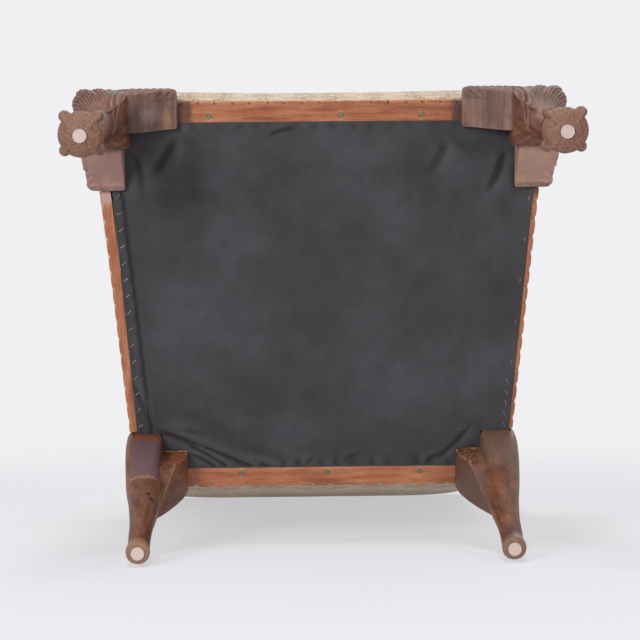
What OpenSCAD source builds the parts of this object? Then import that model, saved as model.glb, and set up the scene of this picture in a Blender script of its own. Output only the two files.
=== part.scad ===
// Upholstered wing chair on carved cabriole legs, with ball and claw front feet and a loose seat cushion.
// Millimetres, +Z up, the front towards -Y. Left is the side at -X, as seen from in front.
// Most places are given as a depth a, measured back from the front edge of the seat frame.

/* [Seat frame] */
// Width over the edge strips at the front
front_w = 690; // [600:1:760]
// Width over the edge strips at the rear
rear_w = 576; // [500:1:640]
// Depth over the edge strips
frame_d = 600; // [540:1:680]
// Height from the floor to the underside of the rails
leg_h = 300; // [270:1:340]
// Height of the seat rails
rail_h = 95; // [80:1:120]
// Thickness of the front rail
rail_t = 45; // [36:1:52]
// Thickness of the side rails
side_rail_t = 32; // [26:1:36]

/* [Edge strips] */
// Width of the carved strip under the front and rear rails
strip_w = 32; // [24:1:36]
// Width of the carved strip under the side rails
side_strip_w = 16; // [12:1:22]
// Thickness of the carved strips
strip_t = 12; // [8:1:16]
// Distance from one carved notch to the next
notch_pitch = 26; // [18:1:40]
// Depth of the notches
notch_d = 6; // [3:0.5:8]

/* [Front legs] */
// Side of the knee block
knee_w = 82; // [74:1:90]
// Distance the knee stands out past the frame
knee_out = 20; // [12:1:26]
// Radius of the ball
ball_r = 31; // [26:1:36]
// Radius of the ankle
ankle_r = 19.5; // [16:0.5:22]
// Reach of the claws past the ball
claw_out = 11; // [6:1:14]
// Width of the post above the knee
post_w = 52; // [46:1:56]
// Length of the knee brackets
bracket_l = 70; // [50:1:90]
// Depth of a knee bracket from front to back
bracket_t = 61; // [45:1:64]
// Height of a knee bracket at the leg
bracket_h = 62; // [45:1:75]

/* [Rear legs] */
// Width of the rear knee block
rear_knee_w = 56; // [50:1:62]
// Depth of the rear knee block
rear_knee_d = 88; // [76:1:96]
// Radius of the rear foot
rear_foot_r = 18; // [15:0.5:22]
// Distance the rear foot stands behind the frame
rear_foot_back = 9; // [0:1:40]
// Length of the rear knee bracket
rear_bracket_l = 38; // [28:1:60]

/* [Glides] */
// Diameter of the glides under the feet
glide_d = 19; // [15:0.5:22]
// Height of the glides
glide_h = 3.5; // [2:0.5:5]
// Diameter of the glide nails
glide_nail_d = 3; // [2:0.5:4]
// Length of the glide nails
glide_nail_l = 16; // [10:1:22]

/* [Back] */
// Height of the middle of the crest above the underside of the rails
back_h = 840; // [760:1:900]
// Angle of the back from upright
rake = 17.6; // [10:0.2:20]
// Width of the back posts
back_post_w = 38; // [32:1:42]
// Depth of the back posts
back_post_d = 52; // [42:1:56]
// Thickness of the inside back padding
back_pad_t = 46; // [36:1:56]
// Rise of the crest in the middle
crest_rise = 26; // [0:1:40]

/* [Arms and wings] */
// Height of the top of the arms above the underside of the rails
arm_h = 342; // [310:1:380]
// Distance the arms stand behind the front of the frame
arm_set = 80; // [72:1:95]
// Thickness of the arms at the seat
arm_t = 72; // [64:1:80]
// Radius of the arm roll at the front
roll_front_r = 42; // [36:1:44]
// Radius of the arm roll at the back
roll_rear_r = 33; // [28:1:36]
// Distance the arm roll stands out past the side
roll_out = 21; // [14:1:28]
// Thickness of the wings, padding and all
wing_t = 53; // [48:1:60]
// Furthest reach of the wing in front of the outside back
wing_reach = 258; // [220:1:290]

/* [Seat] */
// Height of the deck above the rails
deck_rise = 13; // [7:1:30]
// Height of the boxing of the seat cushion
boxing_h = 80; // [60:1:100]
// Rise of the crown over the boxing
crown_h = 22; // [10:1:30]
// Number of springs across and from front to back
spring_rows = 3; // [2:1:4]
// Distance of the outer springs from the middle of the seat
spring_out = 150; // [120:1:180]
// Distance of the end springs from the front and rear of the frame
spring_in = 150; // [120:1:180]
// Diameter of the welt cord
welt_d = 7; // [4:0.5:9]

/* [Hidden] */
// Clearance between soft parts and their neighbours
fit = 0.3;
// Clearance in the mortises and around the nails
joint_fit = 0.15;
// Set back of the rails from the outer edge of the strips
rail_in = 4;
// Thickness of a stretched cover panel
cover_t = rail_in - fit;
// Thickness of the burlap
burlap_t = 1.5;
// Thickness of the cushion cloth
cloth_t = 2;
// Thickness of the webbing
webbing_t = 2;
// Width of a webbing strap
webbing_w = 50;
// Diameter of the spring wire
wire_d = 4;
// Turns of a spring
spring_turns = 3;
// Radius of a spring at its ends and at its waist
spring_r = [42, 29];
side_taper = atan((front_w - rear_w) / 2 / frame_d);
base_z = leg_h + strip_t;
rail_top = leg_h + rail_h;
deck_top = rail_top + deck_rise;
arm_top = leg_h + arm_h;
back_top = leg_h + back_h;
rake_tan = tan(rake);
// The sides lean out just enough to stay beside the raked posts
lean_tan = rake_tan * tan(side_taper);
side_lean = atan(lean_tan);
back_reach = (back_top - base_z) * rake_tan;
front_y = -(frame_d + back_reach - knee_out) / 2;
back_len = (back_top - base_z) / cos(rake);
foot_z = glide_h;

mahogany = "#6b4636";
strip_colour = "#a9714f";
ash = "#c9a878";
cloth = "#d8c7a6";
black_cloth = "#3f3d41";
steel = "#8d8f91";
jute = "#b89a6a";
felt = "#cdb8ae";
foam = "#e8dfc6";

// Shared shapes

function lerp(from, to, t) = from + (to - from) * t;
function ease(t) = t * t * (3 - 2 * t);
function unit(v) = v / norm(v);
function half_at(a) = lerp(front_w, rear_w, a / frame_d) / 2;
function at(x, a, z) = [x, front_y + a, z];
function rear_at(z) = frame_d + (z - base_z) * rake_tan;
function side_point(a, z) = [a / cos(side_taper), (z - base_z) / cos(side_lean)];

// The value of a row of hand-set sections at share t of the way along, smoothly joined
function catmull(p, t) = p[1] + (p[2] - p[0]) * t / 2 + (2 * p[0] - 5 * p[1] + 4 * p[2] - p[3]) * t * t / 2
    + (3 * p[1] - p[0] - 3 * p[2] + p[3]) * t * t * t / 2;
function row(rows, i) = rows[max(0, min(len(rows) - 1, i))];
function along(rows, steps) = [
    for (i = [0:len(rows) - 2], k = [0:steps - 1])
        catmull([row(rows, i - 1), rows[i], rows[i + 1], row(rows, i + 2)], k / steps),
    rows[len(rows) - 1]
];

// A rounded square ring: squareness 2 is an ellipse
function ring(centre, half, squareness, z, count) = [
    for (i = [0:count - 1])
        let (t = 360 * i / count, c = cos(t), s = sin(t))
            [centre[0] + half[0] * sign(c) * pow(abs(c), 2 / squareness),
             centre[1] + half[1] * sign(s) * pow(abs(s), 2 / squareness), z]
];

// A closed solid through a stack of rings that turn anticlockwise as seen from its last ring.
// Rings made of two edges that run side by side can have ends laced from one edge to the other.
function laced(n) = [for (k = [0:n / 2 - 2]) each [[k, k + 1, n - 2 - k], [k, n - 2 - k, n - 1 - k]]];
module skin(rings, lace = false) {
    n = len(rings[0]);
    last = (len(rings) - 1) * n;
    sides = [
        for (j = [0:len(rings) - 2], i = [0:n - 1])
            let (p = j * n + i, q = j * n + (i + 1) % n)
                each [[p, p + n, q + n], [p, q + n, q]]
    ];
    ends = lace
        ? [for (t = laced(n)) each [t, [last + t[2], last + t[1], last + t[0]]]]
        : [[for (i = [0:n - 1]) i], [for (i = [n - 1:-1:0]) last + i]];
    polyhedron([for (r = rings) each r], concat(sides, ends), convexity = 8);
}

// A round tube along a path, with a radius at each point; a closed one joins its ends
function tube_ring(centre, along_path, radius, up, sides) =
    let (u = unit(cross(up, along_path)), v = unit(cross(along_path, u)))
        [for (i = [0:sides - 1]) centre + radius * (u * cos(360 * i / sides) + v * sin(360 * i / sides))];
function tube_rings(path, radii, up, sides) = [
    for (i = [0:len(path) - 1])
        tube_ring(path[i], unit(row(path, i + 1) - row(path, i - 1)), radii[i], up, sides)
];
module tube(path, radii, up, sides = 6) {
    skin(tube_rings(path, radii, up, sides));
}
module ring_tube(path, radius, up, sides = 6) {
    n = len(path);
    rings = [
        for (i = [0:n - 1])
            tube_ring(path[i], unit(path[(i + 1) % n] - path[(i + n - 1) % n]), radius, up, sides)
    ];
    faces = [
        for (j = [0:n - 1], i = [0:sides - 1])
            let (k = (j + 1) % n, p = j * sides + i, q = j * sides + (i + 1) % sides,
                 r = k * sides + i, s = k * sides + (i + 1) % sides)
                each [[p, r, s], [p, s, q]]
    ];
    polyhedron([for (r = rings) each r], faces, convexity = 8);
}

// An outline moved inwards by a distance, for outlines that turn anticlockwise
function inset(points, distance) = [
    let (n = len(points))
        for (i = [0:n - 1])
            let (t = unit(points[(i + 1) % n] - points[(i + n - 1) % n]))
                points[i] + distance * [-t[1], t[0]]
];
function level(points, z) = [for (p = points) [p[0], p[1], z]];

// Frames that place a flat outline: the left side, and the raked back
module in_side(depth = 0) {
    translate(at(-front_w / 2, 0, base_z))
        rotate([0, 0, -side_taper])
            rotate([90, 0, 90])
                rotate([-side_lean, 0, 0])
                    translate([0, 0, depth]) children();
}
module along_side(start) {
    in_side() translate([start / cos(side_taper), 0, 0]) rotate([0, 90, 0]) children();
}
module in_back(depth = 0) {
    translate(at(0, frame_d, base_z))
        rotate([90 - rake, 0, 0])
            translate([0, 0, depth]) children();
}
module both_sides() {
    children();
    mirror([1, 0, 0]) children();
}
module right_of() {
    mirror([1, 0, 0]) children();
}

// Seat frame

frame_zone = rail_in + side_rail_t;
tenon_t = 14;
tenon_l = 26;
tenon_h = 58;
knee_edge = front_w / 2 + knee_out;
knee_in = knee_edge - knee_w;
post_back = knee_w - knee_out;
post_out = half_at(post_back) - rail_in;
post_x = post_out - post_w;
rear_post_x = rear_w / 2 - rail_in - back_post_w;
rear_knee_out = rear_w / 2 + 13;
rear_knee_x = rear_knee_out - rear_knee_w;

module tenon(length) {
    translate([0, -tenon_t / 2, -tenon_h / 2]) cube([length, tenon_t, tenon_h]);
}
module tenon_hole(length) {
    grow = 2 * joint_fit;
    translate([-2, -tenon_t / 2 - joint_fit, -tenon_h / 2 - joint_fit])
        cube([length + 2 + joint_fit, tenon_t + grow, tenon_h + grow]);
}
module at_front_tenon() {
    translate(at(-post_x, rail_in + 18, rail_top - 10 - tenon_h / 2)) rotate([0, 0, 180]) children();
}
module at_side_front_tenon() {
    translate(at(-half_at(post_back) + rail_in + side_rail_t / 2, post_back, rail_top - 10 - tenon_h / 2))
        rotate([0, 0, -90 - side_taper]) children();
}
module at_side_rear_tenon() {
    back_a = rear_at(rail_top - tenon_h / 2) - (rail_in + back_post_d) / cos(rake);
    translate(at(-half_at(back_a) + rail_in + side_rail_t / 2, back_a, rail_top - 10 - tenon_h / 2))
        rotate([0, 0, 90 - side_taper]) translate([-10, 0, 0]) children();
}
module at_rear_tenon() {
    in_back(rail_in + 13) translate([-rear_post_x, rail_h / 2 - 6, 0]) rotate([90, 0, 180]) children();
}

module rail_box(half_l, depth, thick) {
    translate(at(-half_l, depth, leg_h)) cube([2 * half_l, thick, rail_h]);
}
module front_rail() {
    color(ash) {
        difference() {
            rail_box(post_x, rail_in, rail_t);
            translate(at(-front_w, -1, leg_h - 1)) cube([2 * front_w, strip_w + 1, strip_t + 1]);
            at_front_screws() screw_hole();
        }
        both_sides() at_front_tenon() translate([-1, 0, 0]) tenon(tenon_l + 1);
    }
}
module rear_rail() {
    color(ash) {
        difference() {
            in_back(rail_in) translate([-rear_post_x, -60, 0])
                cube([2 * rear_post_x, rail_h + 100, back_post_d]);
            translate(at(-front_w, frame_d - strip_w, leg_h - 40)) cube([2 * front_w, 100, strip_t + 40]);
            translate(at(-front_w, 0, leg_h - 100)) cube([2 * front_w, 2 * frame_d, 100]);
            translate(at(-front_w, 0, rail_top)) cube([2 * front_w, 2 * frame_d, 200]);
            at_rear_screws() screw_hole();
        }
        both_sides() at_rear_tenon() translate([-1, 0, 0]) tenon(tenon_l - 2);
    }
}
module side_rail() {
    color(ash) {
        difference() {
            translate(at(-front_w / 2, 0, leg_h)) rotate([0, 0, -side_taper])
                translate([rail_in, 0, 0]) cube([side_rail_t, frame_d, rail_h]);
            translate(at(-front_w, -50, leg_h - 1)) cube([2 * front_w, post_back + 50 + joint_fit, rail_h + 2]);
            translate(at(-front_w / 2, 0, leg_h - 1)) rotate([0, 0, -side_taper])
                translate([-1, -1, 0]) cube([side_strip_w + 1, 2 * frame_d, strip_t + 1]);
            in_back(-200) translate([-front_w, -200, 0]) cube([2 * front_w, 600, 200 + rail_in + back_post_d]);
        }
        at_side_front_tenon() translate([-1, 0, 0]) tenon(tenon_l + 1);
        at_side_rear_tenon() tenon(tenon_l + 2);
    }
}
block_leg = 74;
block_low = leg_h + strip_t + 4;
block_h = rail_h - strip_t - 20;
block_screw_d = 5;
block_screw_l = 48;
// A point on the inner face of the left side rail, at depth a
function rail_face(a) = -half_at(a) + frame_zone / cos(side_taper);
function rear_block_a() = rear_at(block_low) - (rail_in + back_post_d) / cos(rake);
module at_front_block() {
    translate(at(rail_face(rail_in + rail_t), rail_in + rail_t, block_low)) children();
}
module at_rear_block() {
    translate(at(rail_face(rear_block_a()), rear_block_a(), block_low)) mirror([0, 1, 0]) children();
}
module corner_block() {
    linear_extrude(block_h) polygon([[-10, 0], [block_leg, 0], [-10, block_leg + 10]]);
}
module block_screw(grow) {
    translate([block_leg / 2, block_leg / 2, block_h / 2]) rotate([0, 0, 225]) rotate([0, 90, 0]) {
        cylinder(d = block_screw_d + 2 * grow, h = block_screw_l + grow, $fn = 24);
        translate([0, 0, -3]) cylinder(d = 2 * block_screw_d + 2 * grow, h = 3, $fn = 24);
    }
}
module side_slab(grow) {
    translate(at(-front_w / 2, 0, leg_h - 1)) rotate([0, 0, -side_taper])
        translate([-100, -100, 0]) cube([frame_zone + 100 + grow, 2 * frame_d, rail_h + 2]);
}
module corner_blocks() {
    color(ash) both_sides() difference() {
        union() {
            at_front_block() corner_block();
            at_rear_block() corner_block();
        }
        side_slab(joint_fit);
        front_leg_post(joint_fit);
        in_back(-200) translate([-front_w, -200, 0]) cube([2 * front_w, 600, 200 + rail_in + back_post_d + joint_fit]);
        at_front_block() block_screw(joint_fit);
        at_rear_block() block_screw(joint_fit);
    }
}
module corner_block_screws() {
    color(steel) both_sides() {
        at_front_block() block_screw(0);
        at_rear_block() block_screw(0);
    }
}

// Edge strips with carved notches along their outer edge

function notch(width, depth) = [[-width / 2, 0], [-width / 5, depth * 0.8], [0, depth], [width / 5, depth * 0.8], [width / 2, 0]];
function notched_edge(length) =
    let (count = floor(length / notch_pitch), start = (length - (count - 1) * notch_pitch) / 2)
        [for (k = [0:count - 1]) each [for (p = notch(notch_pitch * 0.3, notch_d)) [start + k * notch_pitch + p[0], p[1]]]];
module edge_strip(length, width, skew_start = 0, skew_end = 0) {
    linear_extrude(strip_t)
        polygon(concat([[0, 0]], notched_edge(length), [[length, 0], [length + skew_end, width], [skew_start, width]]));
}
front_strip_half = knee_in - fit;
rear_strip_half = rear_knee_x - fit;
module front_edge_strip() {
    color(strip_colour) difference() {
        translate(at(-front_strip_half, 0, leg_h)) edge_strip(2 * front_strip_half, strip_w);
        at_front_screws() screw_hole();
    }
}
module rear_edge_strip() {
    color(strip_colour) difference() {
        translate(at(rear_strip_half, frame_d, leg_h)) rotate([0, 0, 180]) edge_strip(2 * rear_strip_half, strip_w);
        at_rear_screws() screw_hole();
    }
}
module side_edge_strip() {
    strip_start = knee_w - knee_out + fit;
    strip_end = frame_d - rear_knee_d - fit;
    color(strip_colour) difference() {
        translate(at(-front_w / 2, 0, leg_h)) rotate([0, 0, -side_taper]) mirror([1, 0, 0]) rotate([0, 0, 90])
            translate([strip_start - 6, 0, 0]) edge_strip(strip_end - strip_start + 12, side_strip_w);
        translate(at(-front_w, -50, leg_h - 1)) cube([2 * front_w, strip_start + 50, strip_t + 2]);
        translate(at(-front_w, strip_end, leg_h - 1)) cube([2 * front_w, frame_d, strip_t + 2]);
    }
}
screw_d = 4;
screw_head_d = 9;
screw_l = 30;
front_screw_x = [-166, 32, 153];
rear_screw_x = [-125, 8, 152];
screw_in = 10;
module at_front_screws() {
    for (x = front_screw_x) translate(at(x, strip_w - screw_in, leg_h)) children();
}
module at_rear_screws() {
    for (x = rear_screw_x) translate(at(x, frame_d - strip_w + screw_in, leg_h)) children();
}
module screw_hole() {
    translate([0, 0, -1]) cylinder(d = screw_d + 2 * joint_fit, h = screw_l + 2, $fn = 32);
    translate([0, 0, -1]) cylinder(d = screw_head_d + 2 * joint_fit, h = 4 + joint_fit, $fn = 32);
}
module wood_screw() {
    cylinder(d = screw_d, h = screw_l, $fn = 32);
    difference() {
        translate([0, 0, 0.5]) cylinder(d = screw_head_d, h = 2.5, $fn = 32);
        translate([-screw_head_d, -0.6, -1]) cube([2 * screw_head_d, 1.2, 2.5]);
    }
}

// Front legs: each section is its height, the distances of its outer and inner faces from the knee's
// outer corner, and its squareness

ball_z = foot_z + ball_r - 5;
knee_sections_low = [
    [58, ball_r - ankle_r - 1.5, ball_r + ankle_r + 5, 2],
    [80, 37.5 - ankle_r, 37.5 + ankle_r, 2],
    [108, 39.5 - ankle_r, 39.5 + ankle_r, 2],
    [140, 39.5 - ankle_r * 1.06, 40.5 + ankle_r * 1.1, 2.2],
    [172, 16, knee_w - 17, 2.5],
    [202, 10.5, knee_w - 10, 3],
    [230, 4.5, knee_w - 3.5, 3.8],
    [252, 1, knee_w - 0.5, 4.6],
    [276, 0, knee_w, 5.6]
];
knee_sections_top = [[300, 1, knee_w, 7], [301, 2.5, knee_w, 8]];
// Heights in the list above are for this leg height; the last one is the top of the block
section_leg_h = 300;
function section_z(z) = z > section_leg_h ? base_z - fit : z * leg_h / section_leg_h;
function knee_ring(s, count) =
    let (half = (s[2] - s[1]) / 2, mid = (s[2] + s[1]) / 2)
        ring([-(knee_edge - mid), front_y - knee_out + mid], [half, half], s[3], section_z(s[0]), count);
function ball_ring(z, count) =
    let (r = sqrt(max(1, ball_r * ball_r - (z - ball_z) * (z - ball_z))))
        ring([-(knee_edge - ball_r), front_y - knee_out + ball_r], [r, r], 2, z, count);
leg_sides = 24;
ball_levels = [for (k = [0:5]) lerp(foot_z, ball_z + ball_r * 0.72, k / 5)];
// Each claw runs down the ball: distance from the ball's centre, height, and radius
claw_line = [[17, 92, 5], [24, 76, 6.5], [31, 62, 7.5], [ball_r + claw_out - 7.5, 46, 8], [ball_r + 2, 28, 6.5], [ball_r - 4, 13, 3]];
module claw(turn) {
    path = along(claw_line, 2);
    spine = [for (p = path) [-(knee_edge - ball_r) + p[0] * cos(turn), front_y - knee_out + ball_r + p[0] * sin(turn), p[1]]];
    tube(spine, [for (p = path) p[2]], [-sin(turn), cos(turn), 0.01], 7);
}
module front_leg_post(grow) {
    translate(at(-post_out - grow, rail_in - grow, leg_h))
        cube([post_w + 2 * grow, post_back - rail_in + 2 * grow, rail_h - 3 + grow]);
}
module front_leg() {
    color(mahogany) difference() {
        union() {
            skin(concat([for (z = ball_levels) ball_ring(z, leg_sides)],
                [for (s = concat(along(knee_sections_low, 2), knee_sections_top)) knee_ring(s, leg_sides)]));
            for (turn = [45, 135, 225, 315]) claw(turn);
            front_leg_post(0);
        }
        at_front_tenon() tenon_hole(tenon_l);
        at_side_front_tenon() tenon_hole(tenon_l);
        at_front_block() block_screw(joint_fit);
        translate(front_glide_at()) glide_hole();
    }
}
function front_glide_at() = at(-(knee_edge - ball_r), ball_r - knee_out, 0);

// Knee brackets: the underside falls in an S towards the leg

tip_h = 14;
module bracket_profile(length, height) {
    steps = 12;
    polygon(concat([[0, 0], [0, -height]],
        [for (k = [1:steps]) [length * k / steps, -lerp(height, tip_h, ease(k / steps))]],
        [[length, 0]]));
}
module front_left_knee_brackets() {
    color(mahogany) {
        intersection() {
            translate(at(-knee_in + fit, bracket_t - knee_out, leg_h)) rotate([90, 0, 0])
                linear_extrude(bracket_t) bracket_profile(bracket_l, bracket_h);
            translate(at(-knee_in, -knee_out, leg_h - 2 * bracket_h))
                linear_extrude(2 * bracket_h) offset(r = 8) offset(delta = -8)
                    translate([-20, 0]) square([bracket_l + 20 + fit, bracket_t]);
        }
        intersection() {
            translate(at(-knee_edge + 10, knee_w - knee_out + fit, leg_h)) rotate([90, 0, 90])
                linear_extrude(bracket_t) bracket_profile(bracket_l, bracket_h);
            translate(at(-knee_edge + 10, knee_w - knee_out, leg_h - 2 * bracket_h))
                linear_extrude(2 * bracket_h) offset(r = 8) offset(delta = -8)
                    translate([0, -20]) square([bracket_t, bracket_l + 20 + fit]);
        }
    }
}
// The rear bracket's underside sweeps down towards the back of the leg
function rear_bracket_edge(high) = concat([[0, 0], [rear_bracket_l, 0]],
    [for (k = [10:-1:0]) [rear_bracket_l * k / 10, -lerp(high, tip_h, pow(k / 10, 1.6))]]);
module rear_left_knee_bracket() {
    color(mahogany)
        skin([for (j = [0:8]) let (t = j / 8, high = bracket_h * lerp(0.8, 2.35, ease(t)))
            [for (p = rear_bracket_edge(high))
                at(-rear_knee_x + fit + p[0], frame_d - rear_knee_d * 0.75 * (1 - t), leg_h + p[1])]]);
}

// Rear legs: each section is its height, its centre as shifts from the knee block's centre,
// its half sizes and its squareness

rear_knee_mid = [rear_knee_out - rear_knee_w / 2, frame_d + 1 - rear_knee_d / 2];
rear_foot_mid = [rear_w / 2 - 1 - rear_foot_r, frame_d + rear_foot_back];
rear_sections = [
    [glide_h, 1, rear_foot_r - 3, rear_foot_r - 3, 2],
    [11, 1, rear_foot_r, rear_foot_r, 2],
    [22, 0.97, rear_foot_r - 0.5, rear_foot_r - 0.5, 2],
    [44, 0.86, 16, 16.5, 2],
    [76, 0.72, 16, 17.5, 2],
    [116, 0.54, 18, 21, 2.2],
    [158, 0.36, 20.5, 26.5, 2.5],
    [198, 0.2, 23, 32.5, 2.9],
    [234, 0.08, rear_knee_w / 2 - 2.5, rear_knee_d / 2 - 6, 3.5],
    [264, 0.01, rear_knee_w / 2 - 0.5, rear_knee_d / 2 - 1, 4.4]
];
rear_sections_top = [[300, 0, rear_knee_w / 2, rear_knee_d / 2, 7], [301, 0, rear_knee_w / 2, rear_knee_d / 2, 7]];
function rear_ring(s, count) =
    let (c = lerp(rear_knee_mid, rear_foot_mid, s[1]))
        ring([-c[0], front_y + c[1]], [s[2], s[3]], s[4], s[0] < 12 ? s[0] : section_z(s[0]), count);
function rear_glide_at() = at(-rear_foot_mid[0], rear_foot_mid[1], 0);
module rear_leg() {
    color(mahogany) difference() {
        skin([for (s = concat(along(rear_sections, 2), rear_sections_top)) rear_ring(s, 20)]);
        intersection() {
            translate(at(-front_w / 2, 0, leg_h)) rotate([0, 0, -side_taper])
                translate([rail_in - fit, 0, 0]) cube([200, 2 * frame_d, 100]);
            in_back(rail_in - fit) translate([-front_w, -200, 0]) cube([2 * front_w, 400, 300]);
        }
        translate(rear_glide_at()) glide_hole();
        at_leg_dowels() cylinder(d = dowel_d + 2 * joint_fit, h = 2 * dowel_l, center = true, $fn = 32);
    }
}
dowel_d = 10;
dowel_l = 24;
module at_leg_dowels() {
    for (a = [16, 38]) translate(at(-rear_post_x - back_post_w / 2, frame_d - rail_in - a, leg_h)) children();
}
module rear_leg_dowels() {
    color(ash) both_sides() at_leg_dowels() cylinder(d = dowel_d, h = 2 * dowel_l - 4, center = true, $fn = 32);
}

// Glides

module glide_hole() {
    cylinder(d = glide_nail_d + 2 * joint_fit, h = glide_h + glide_nail_l + 1, $fn = 24);
}
module glide() {
    cylinder(d = glide_d, h = glide_h, $fn = 48);
    cylinder(d = glide_nail_d, h = glide_h + glide_nail_l, $fn = 24);
}
module foot_glides() {
    color(felt) both_sides() {
        translate(front_glide_at()) glide();
        translate(rear_glide_at()) glide();
    }
}

// Back frame

crest_in = 14;
function crest_line(x) =
    let (u = abs(x) / (rear_w / 2))
        back_len - crest_rise * (1 - cos(180 * min(1, u / 0.8))) / 2;
function crest_points(half, drop) = [
    for (k = [0:24]) let (x = lerp(half, -half, k / 24)) [x, crest_line(x) - drop]
];
module back_post() {
    color(ash) difference() {
        in_back(rail_in) linear_extrude(back_post_d)
            polygon([[-rear_post_x - back_post_w, -60], [-rear_post_x, -60],
                     [-rear_post_x, crest_line(rear_post_x) - crest_in],
                     [-rear_post_x - back_post_w, crest_line(rear_post_x + back_post_w) - crest_in]]);
        translate(at(-front_w, 0, 0)) cube([2 * front_w, 2 * frame_d, leg_h]);
        at_rear_block() block_screw(joint_fit);
        at_side_rear_tenon() tenon_hole(tenon_l + 2);
        at_rear_tenon() tenon_hole(tenon_l - 3);
        at_leg_dowels() cylinder(d = dowel_d + 2 * joint_fit, h = 2 * dowel_l, center = true, $fn = 32);
    }
}
module crest_rail() {
    low = back_len - 110;
    color(ash) in_back(rail_in) linear_extrude(back_post_d - 2 * webbing_t)
        polygon(concat([[-rear_post_x, low], [rear_post_x, low]], crest_points(rear_post_x, crest_in)));
}
module lower_back_rail() {
    color(ash) in_back(rail_in + back_post_d - 2 * webbing_t - 30)
        translate([-rear_post_x, rail_h + 45, 0]) cube([2 * rear_post_x, 50, 30]);
}
module back_webbing() {
    low = rail_h + 60;
    high = back_len - 80;
    depth = rail_in + back_post_d - 2 * webbing_t;
    color(jute) {
        for (x = [-140, -47, 47, 140]) in_back(depth) translate([x - webbing_w / 2, low, 0])
            cube([webbing_w, high - low, webbing_t]);
        for (k = [0:3]) in_back(depth + webbing_t) translate([-rear_post_x, lerp(low + 60, high - 90, k / 3), 0])
            cube([2 * rear_post_x, webbing_w, webbing_t]);
    }
}

// Arms. A section of the arm is drawn with the distance in from the side and the height over the base

arm_base = rail_top + burlap_t + fit;
board_t = 22;
board_low = arm_top - 2 * roll_front_r - base_z + 6;
board_in = 12;
post_deep = 42;
facing_t = 6;
arm_near = arm_set + facing_t + fit;
arm_far = rear_at(arm_top);
function run(a) = max(0, min(1, (a - arm_set) / (arm_far - arm_set)));
function roll_r(t) = lerp(roll_front_r, roll_rear_r, t);
function roll_mid(t) = [roll_r(t) - roll_out + 12 * t, arm_top - base_z - roll_r(t)];
function over_roll(t, depth) = roll_mid(t)[1] + sqrt(max(1, pow(roll_r(t) + 2 * fit, 2) - pow(depth - roll_mid(t)[0], 2)));
function under_roll(t, depth) = roll_mid(t)[1] - sqrt(max(1, pow(roll_r(t) + fit, 2) - pow(depth - roll_mid(t)[0], 2)));
// How far along the side the plane lies that is the given distance in front of the outside back
function back_s(height, depth, distance) =
    let (z = base_z + height * cos(side_lean) + depth * sin(side_lean),
         inward = depth * cos(side_lean) - height * sin(side_lean))
        (rear_at(z) - distance / cos(rake) + inward * sin(side_taper)) / cos(side_taper);
function arc(centre, r, from, to, steps) = [
    for (k = [0:steps]) let (t = lerp(from, to, k / steps)) centre + r * [cos(t), sin(t)]
];
// Up the inside, round the roll and under it
function arm_outline(t) =
    let (c = roll_mid(t), low = arm_base - base_z)
        concat([[arm_t, low], [arm_t, lerp(low, c[1], 0.45)], [arm_t - 1.5, lerp(low, c[1], 0.75)]],
            arc(c, roll_r(t), -14, 180 + acos(max(-0.9, min(0.9, (c[0] - rail_in) / roll_r(t)))), 16));
function arm_section(t) =
    let (board_edge = frame_zone + board_in + fit)
        concat(arm_outline(t), [[rail_in, board_low + board_t + fit], [board_edge, board_low + board_t + fit],
            [board_edge, board_low], [frame_zone + fit, board_low], [frame_zone + fit, arm_base - base_z]]);
function arm_ring(points, s) = [for (i = [len(points) - 1:-1:0]) [s, points[i][1], points[i][0]]];
function arm_end_ring(points) = [
    for (i = [len(points) - 1:-1:0])
        let (p = points[i]) [back_s(p[1], p[0], rail_in + back_post_d + fit), p[1], p[0]]
];
arm_stations = 5;
arm_end_share = run(arm_far - 60);
// The part of the roll that runs on past the outer face of the back post
module roll_tail() {
    c = roll_mid(arm_end_share);
    r = roll_r(arm_end_share);
    half = acos(max(-0.95, min(0.95, (c[0] - cover_t) / r)));
    tail = arc(c, r, 180 - half, 180 + half, 8);
    skin([for (distance = [rail_in + back_post_d + 4, 2])
        [for (i = [len(tail) - 1:-1:0]) [back_s(tail[i][1], tail[i][0], distance), tail[i][1], tail[i][0]]]]);
}
module arm_pad() {
    color(cloth) in_side() {
        skin(concat(
            [for (k = [0:arm_stations - 1]) let (a = lerp(arm_near, frame_d - 90, k / (arm_stations - 1)))
                arm_ring(arm_section(run(a)), a / cos(side_taper))],
            [arm_end_ring(arm_section(arm_end_share))]));
        roll_tail();
    }
}
module arm_facing() {
    color(cloth) along_side(arm_set) linear_extrude(facing_t)
        polygon([for (p = concat(arm_outline(0), [[rail_in, arm_base - base_z]])) [-p[0], p[1]]]);
}
module arm_facing_welts() {
    r = welt_d / 2;
    line = inset([for (p = arm_outline(0)) p], r);
    color(cloth) both_sides() in_side()
        tube([for (p = line) [arm_set / cos(side_taper) - r, p[1], p[0]]],
            [for (p = line) r - 0.2], [1, 0, 0], 6);
}
module arm_post() {
    color(ash) in_side(rail_in) translate([arm_near / cos(side_taper), rail_top - base_z, 0])
        cube([post_deep, board_low - rail_top + base_z, side_rail_t]);
}
module arm_board() {
    color(ash) difference() {
        in_side(rail_in + fit) translate([arm_near / cos(side_taper), board_low, 0])
            cube([frame_d, board_t, side_rail_t + board_in - fit]);
        in_back(-400) translate([-front_w, -200, 0]) cube([2 * front_w, 1200, 400 + rail_in + back_post_d]);
    }
}

// Wings: the front edge, as share of the rise over the arm and reach in front of the outside back

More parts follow.
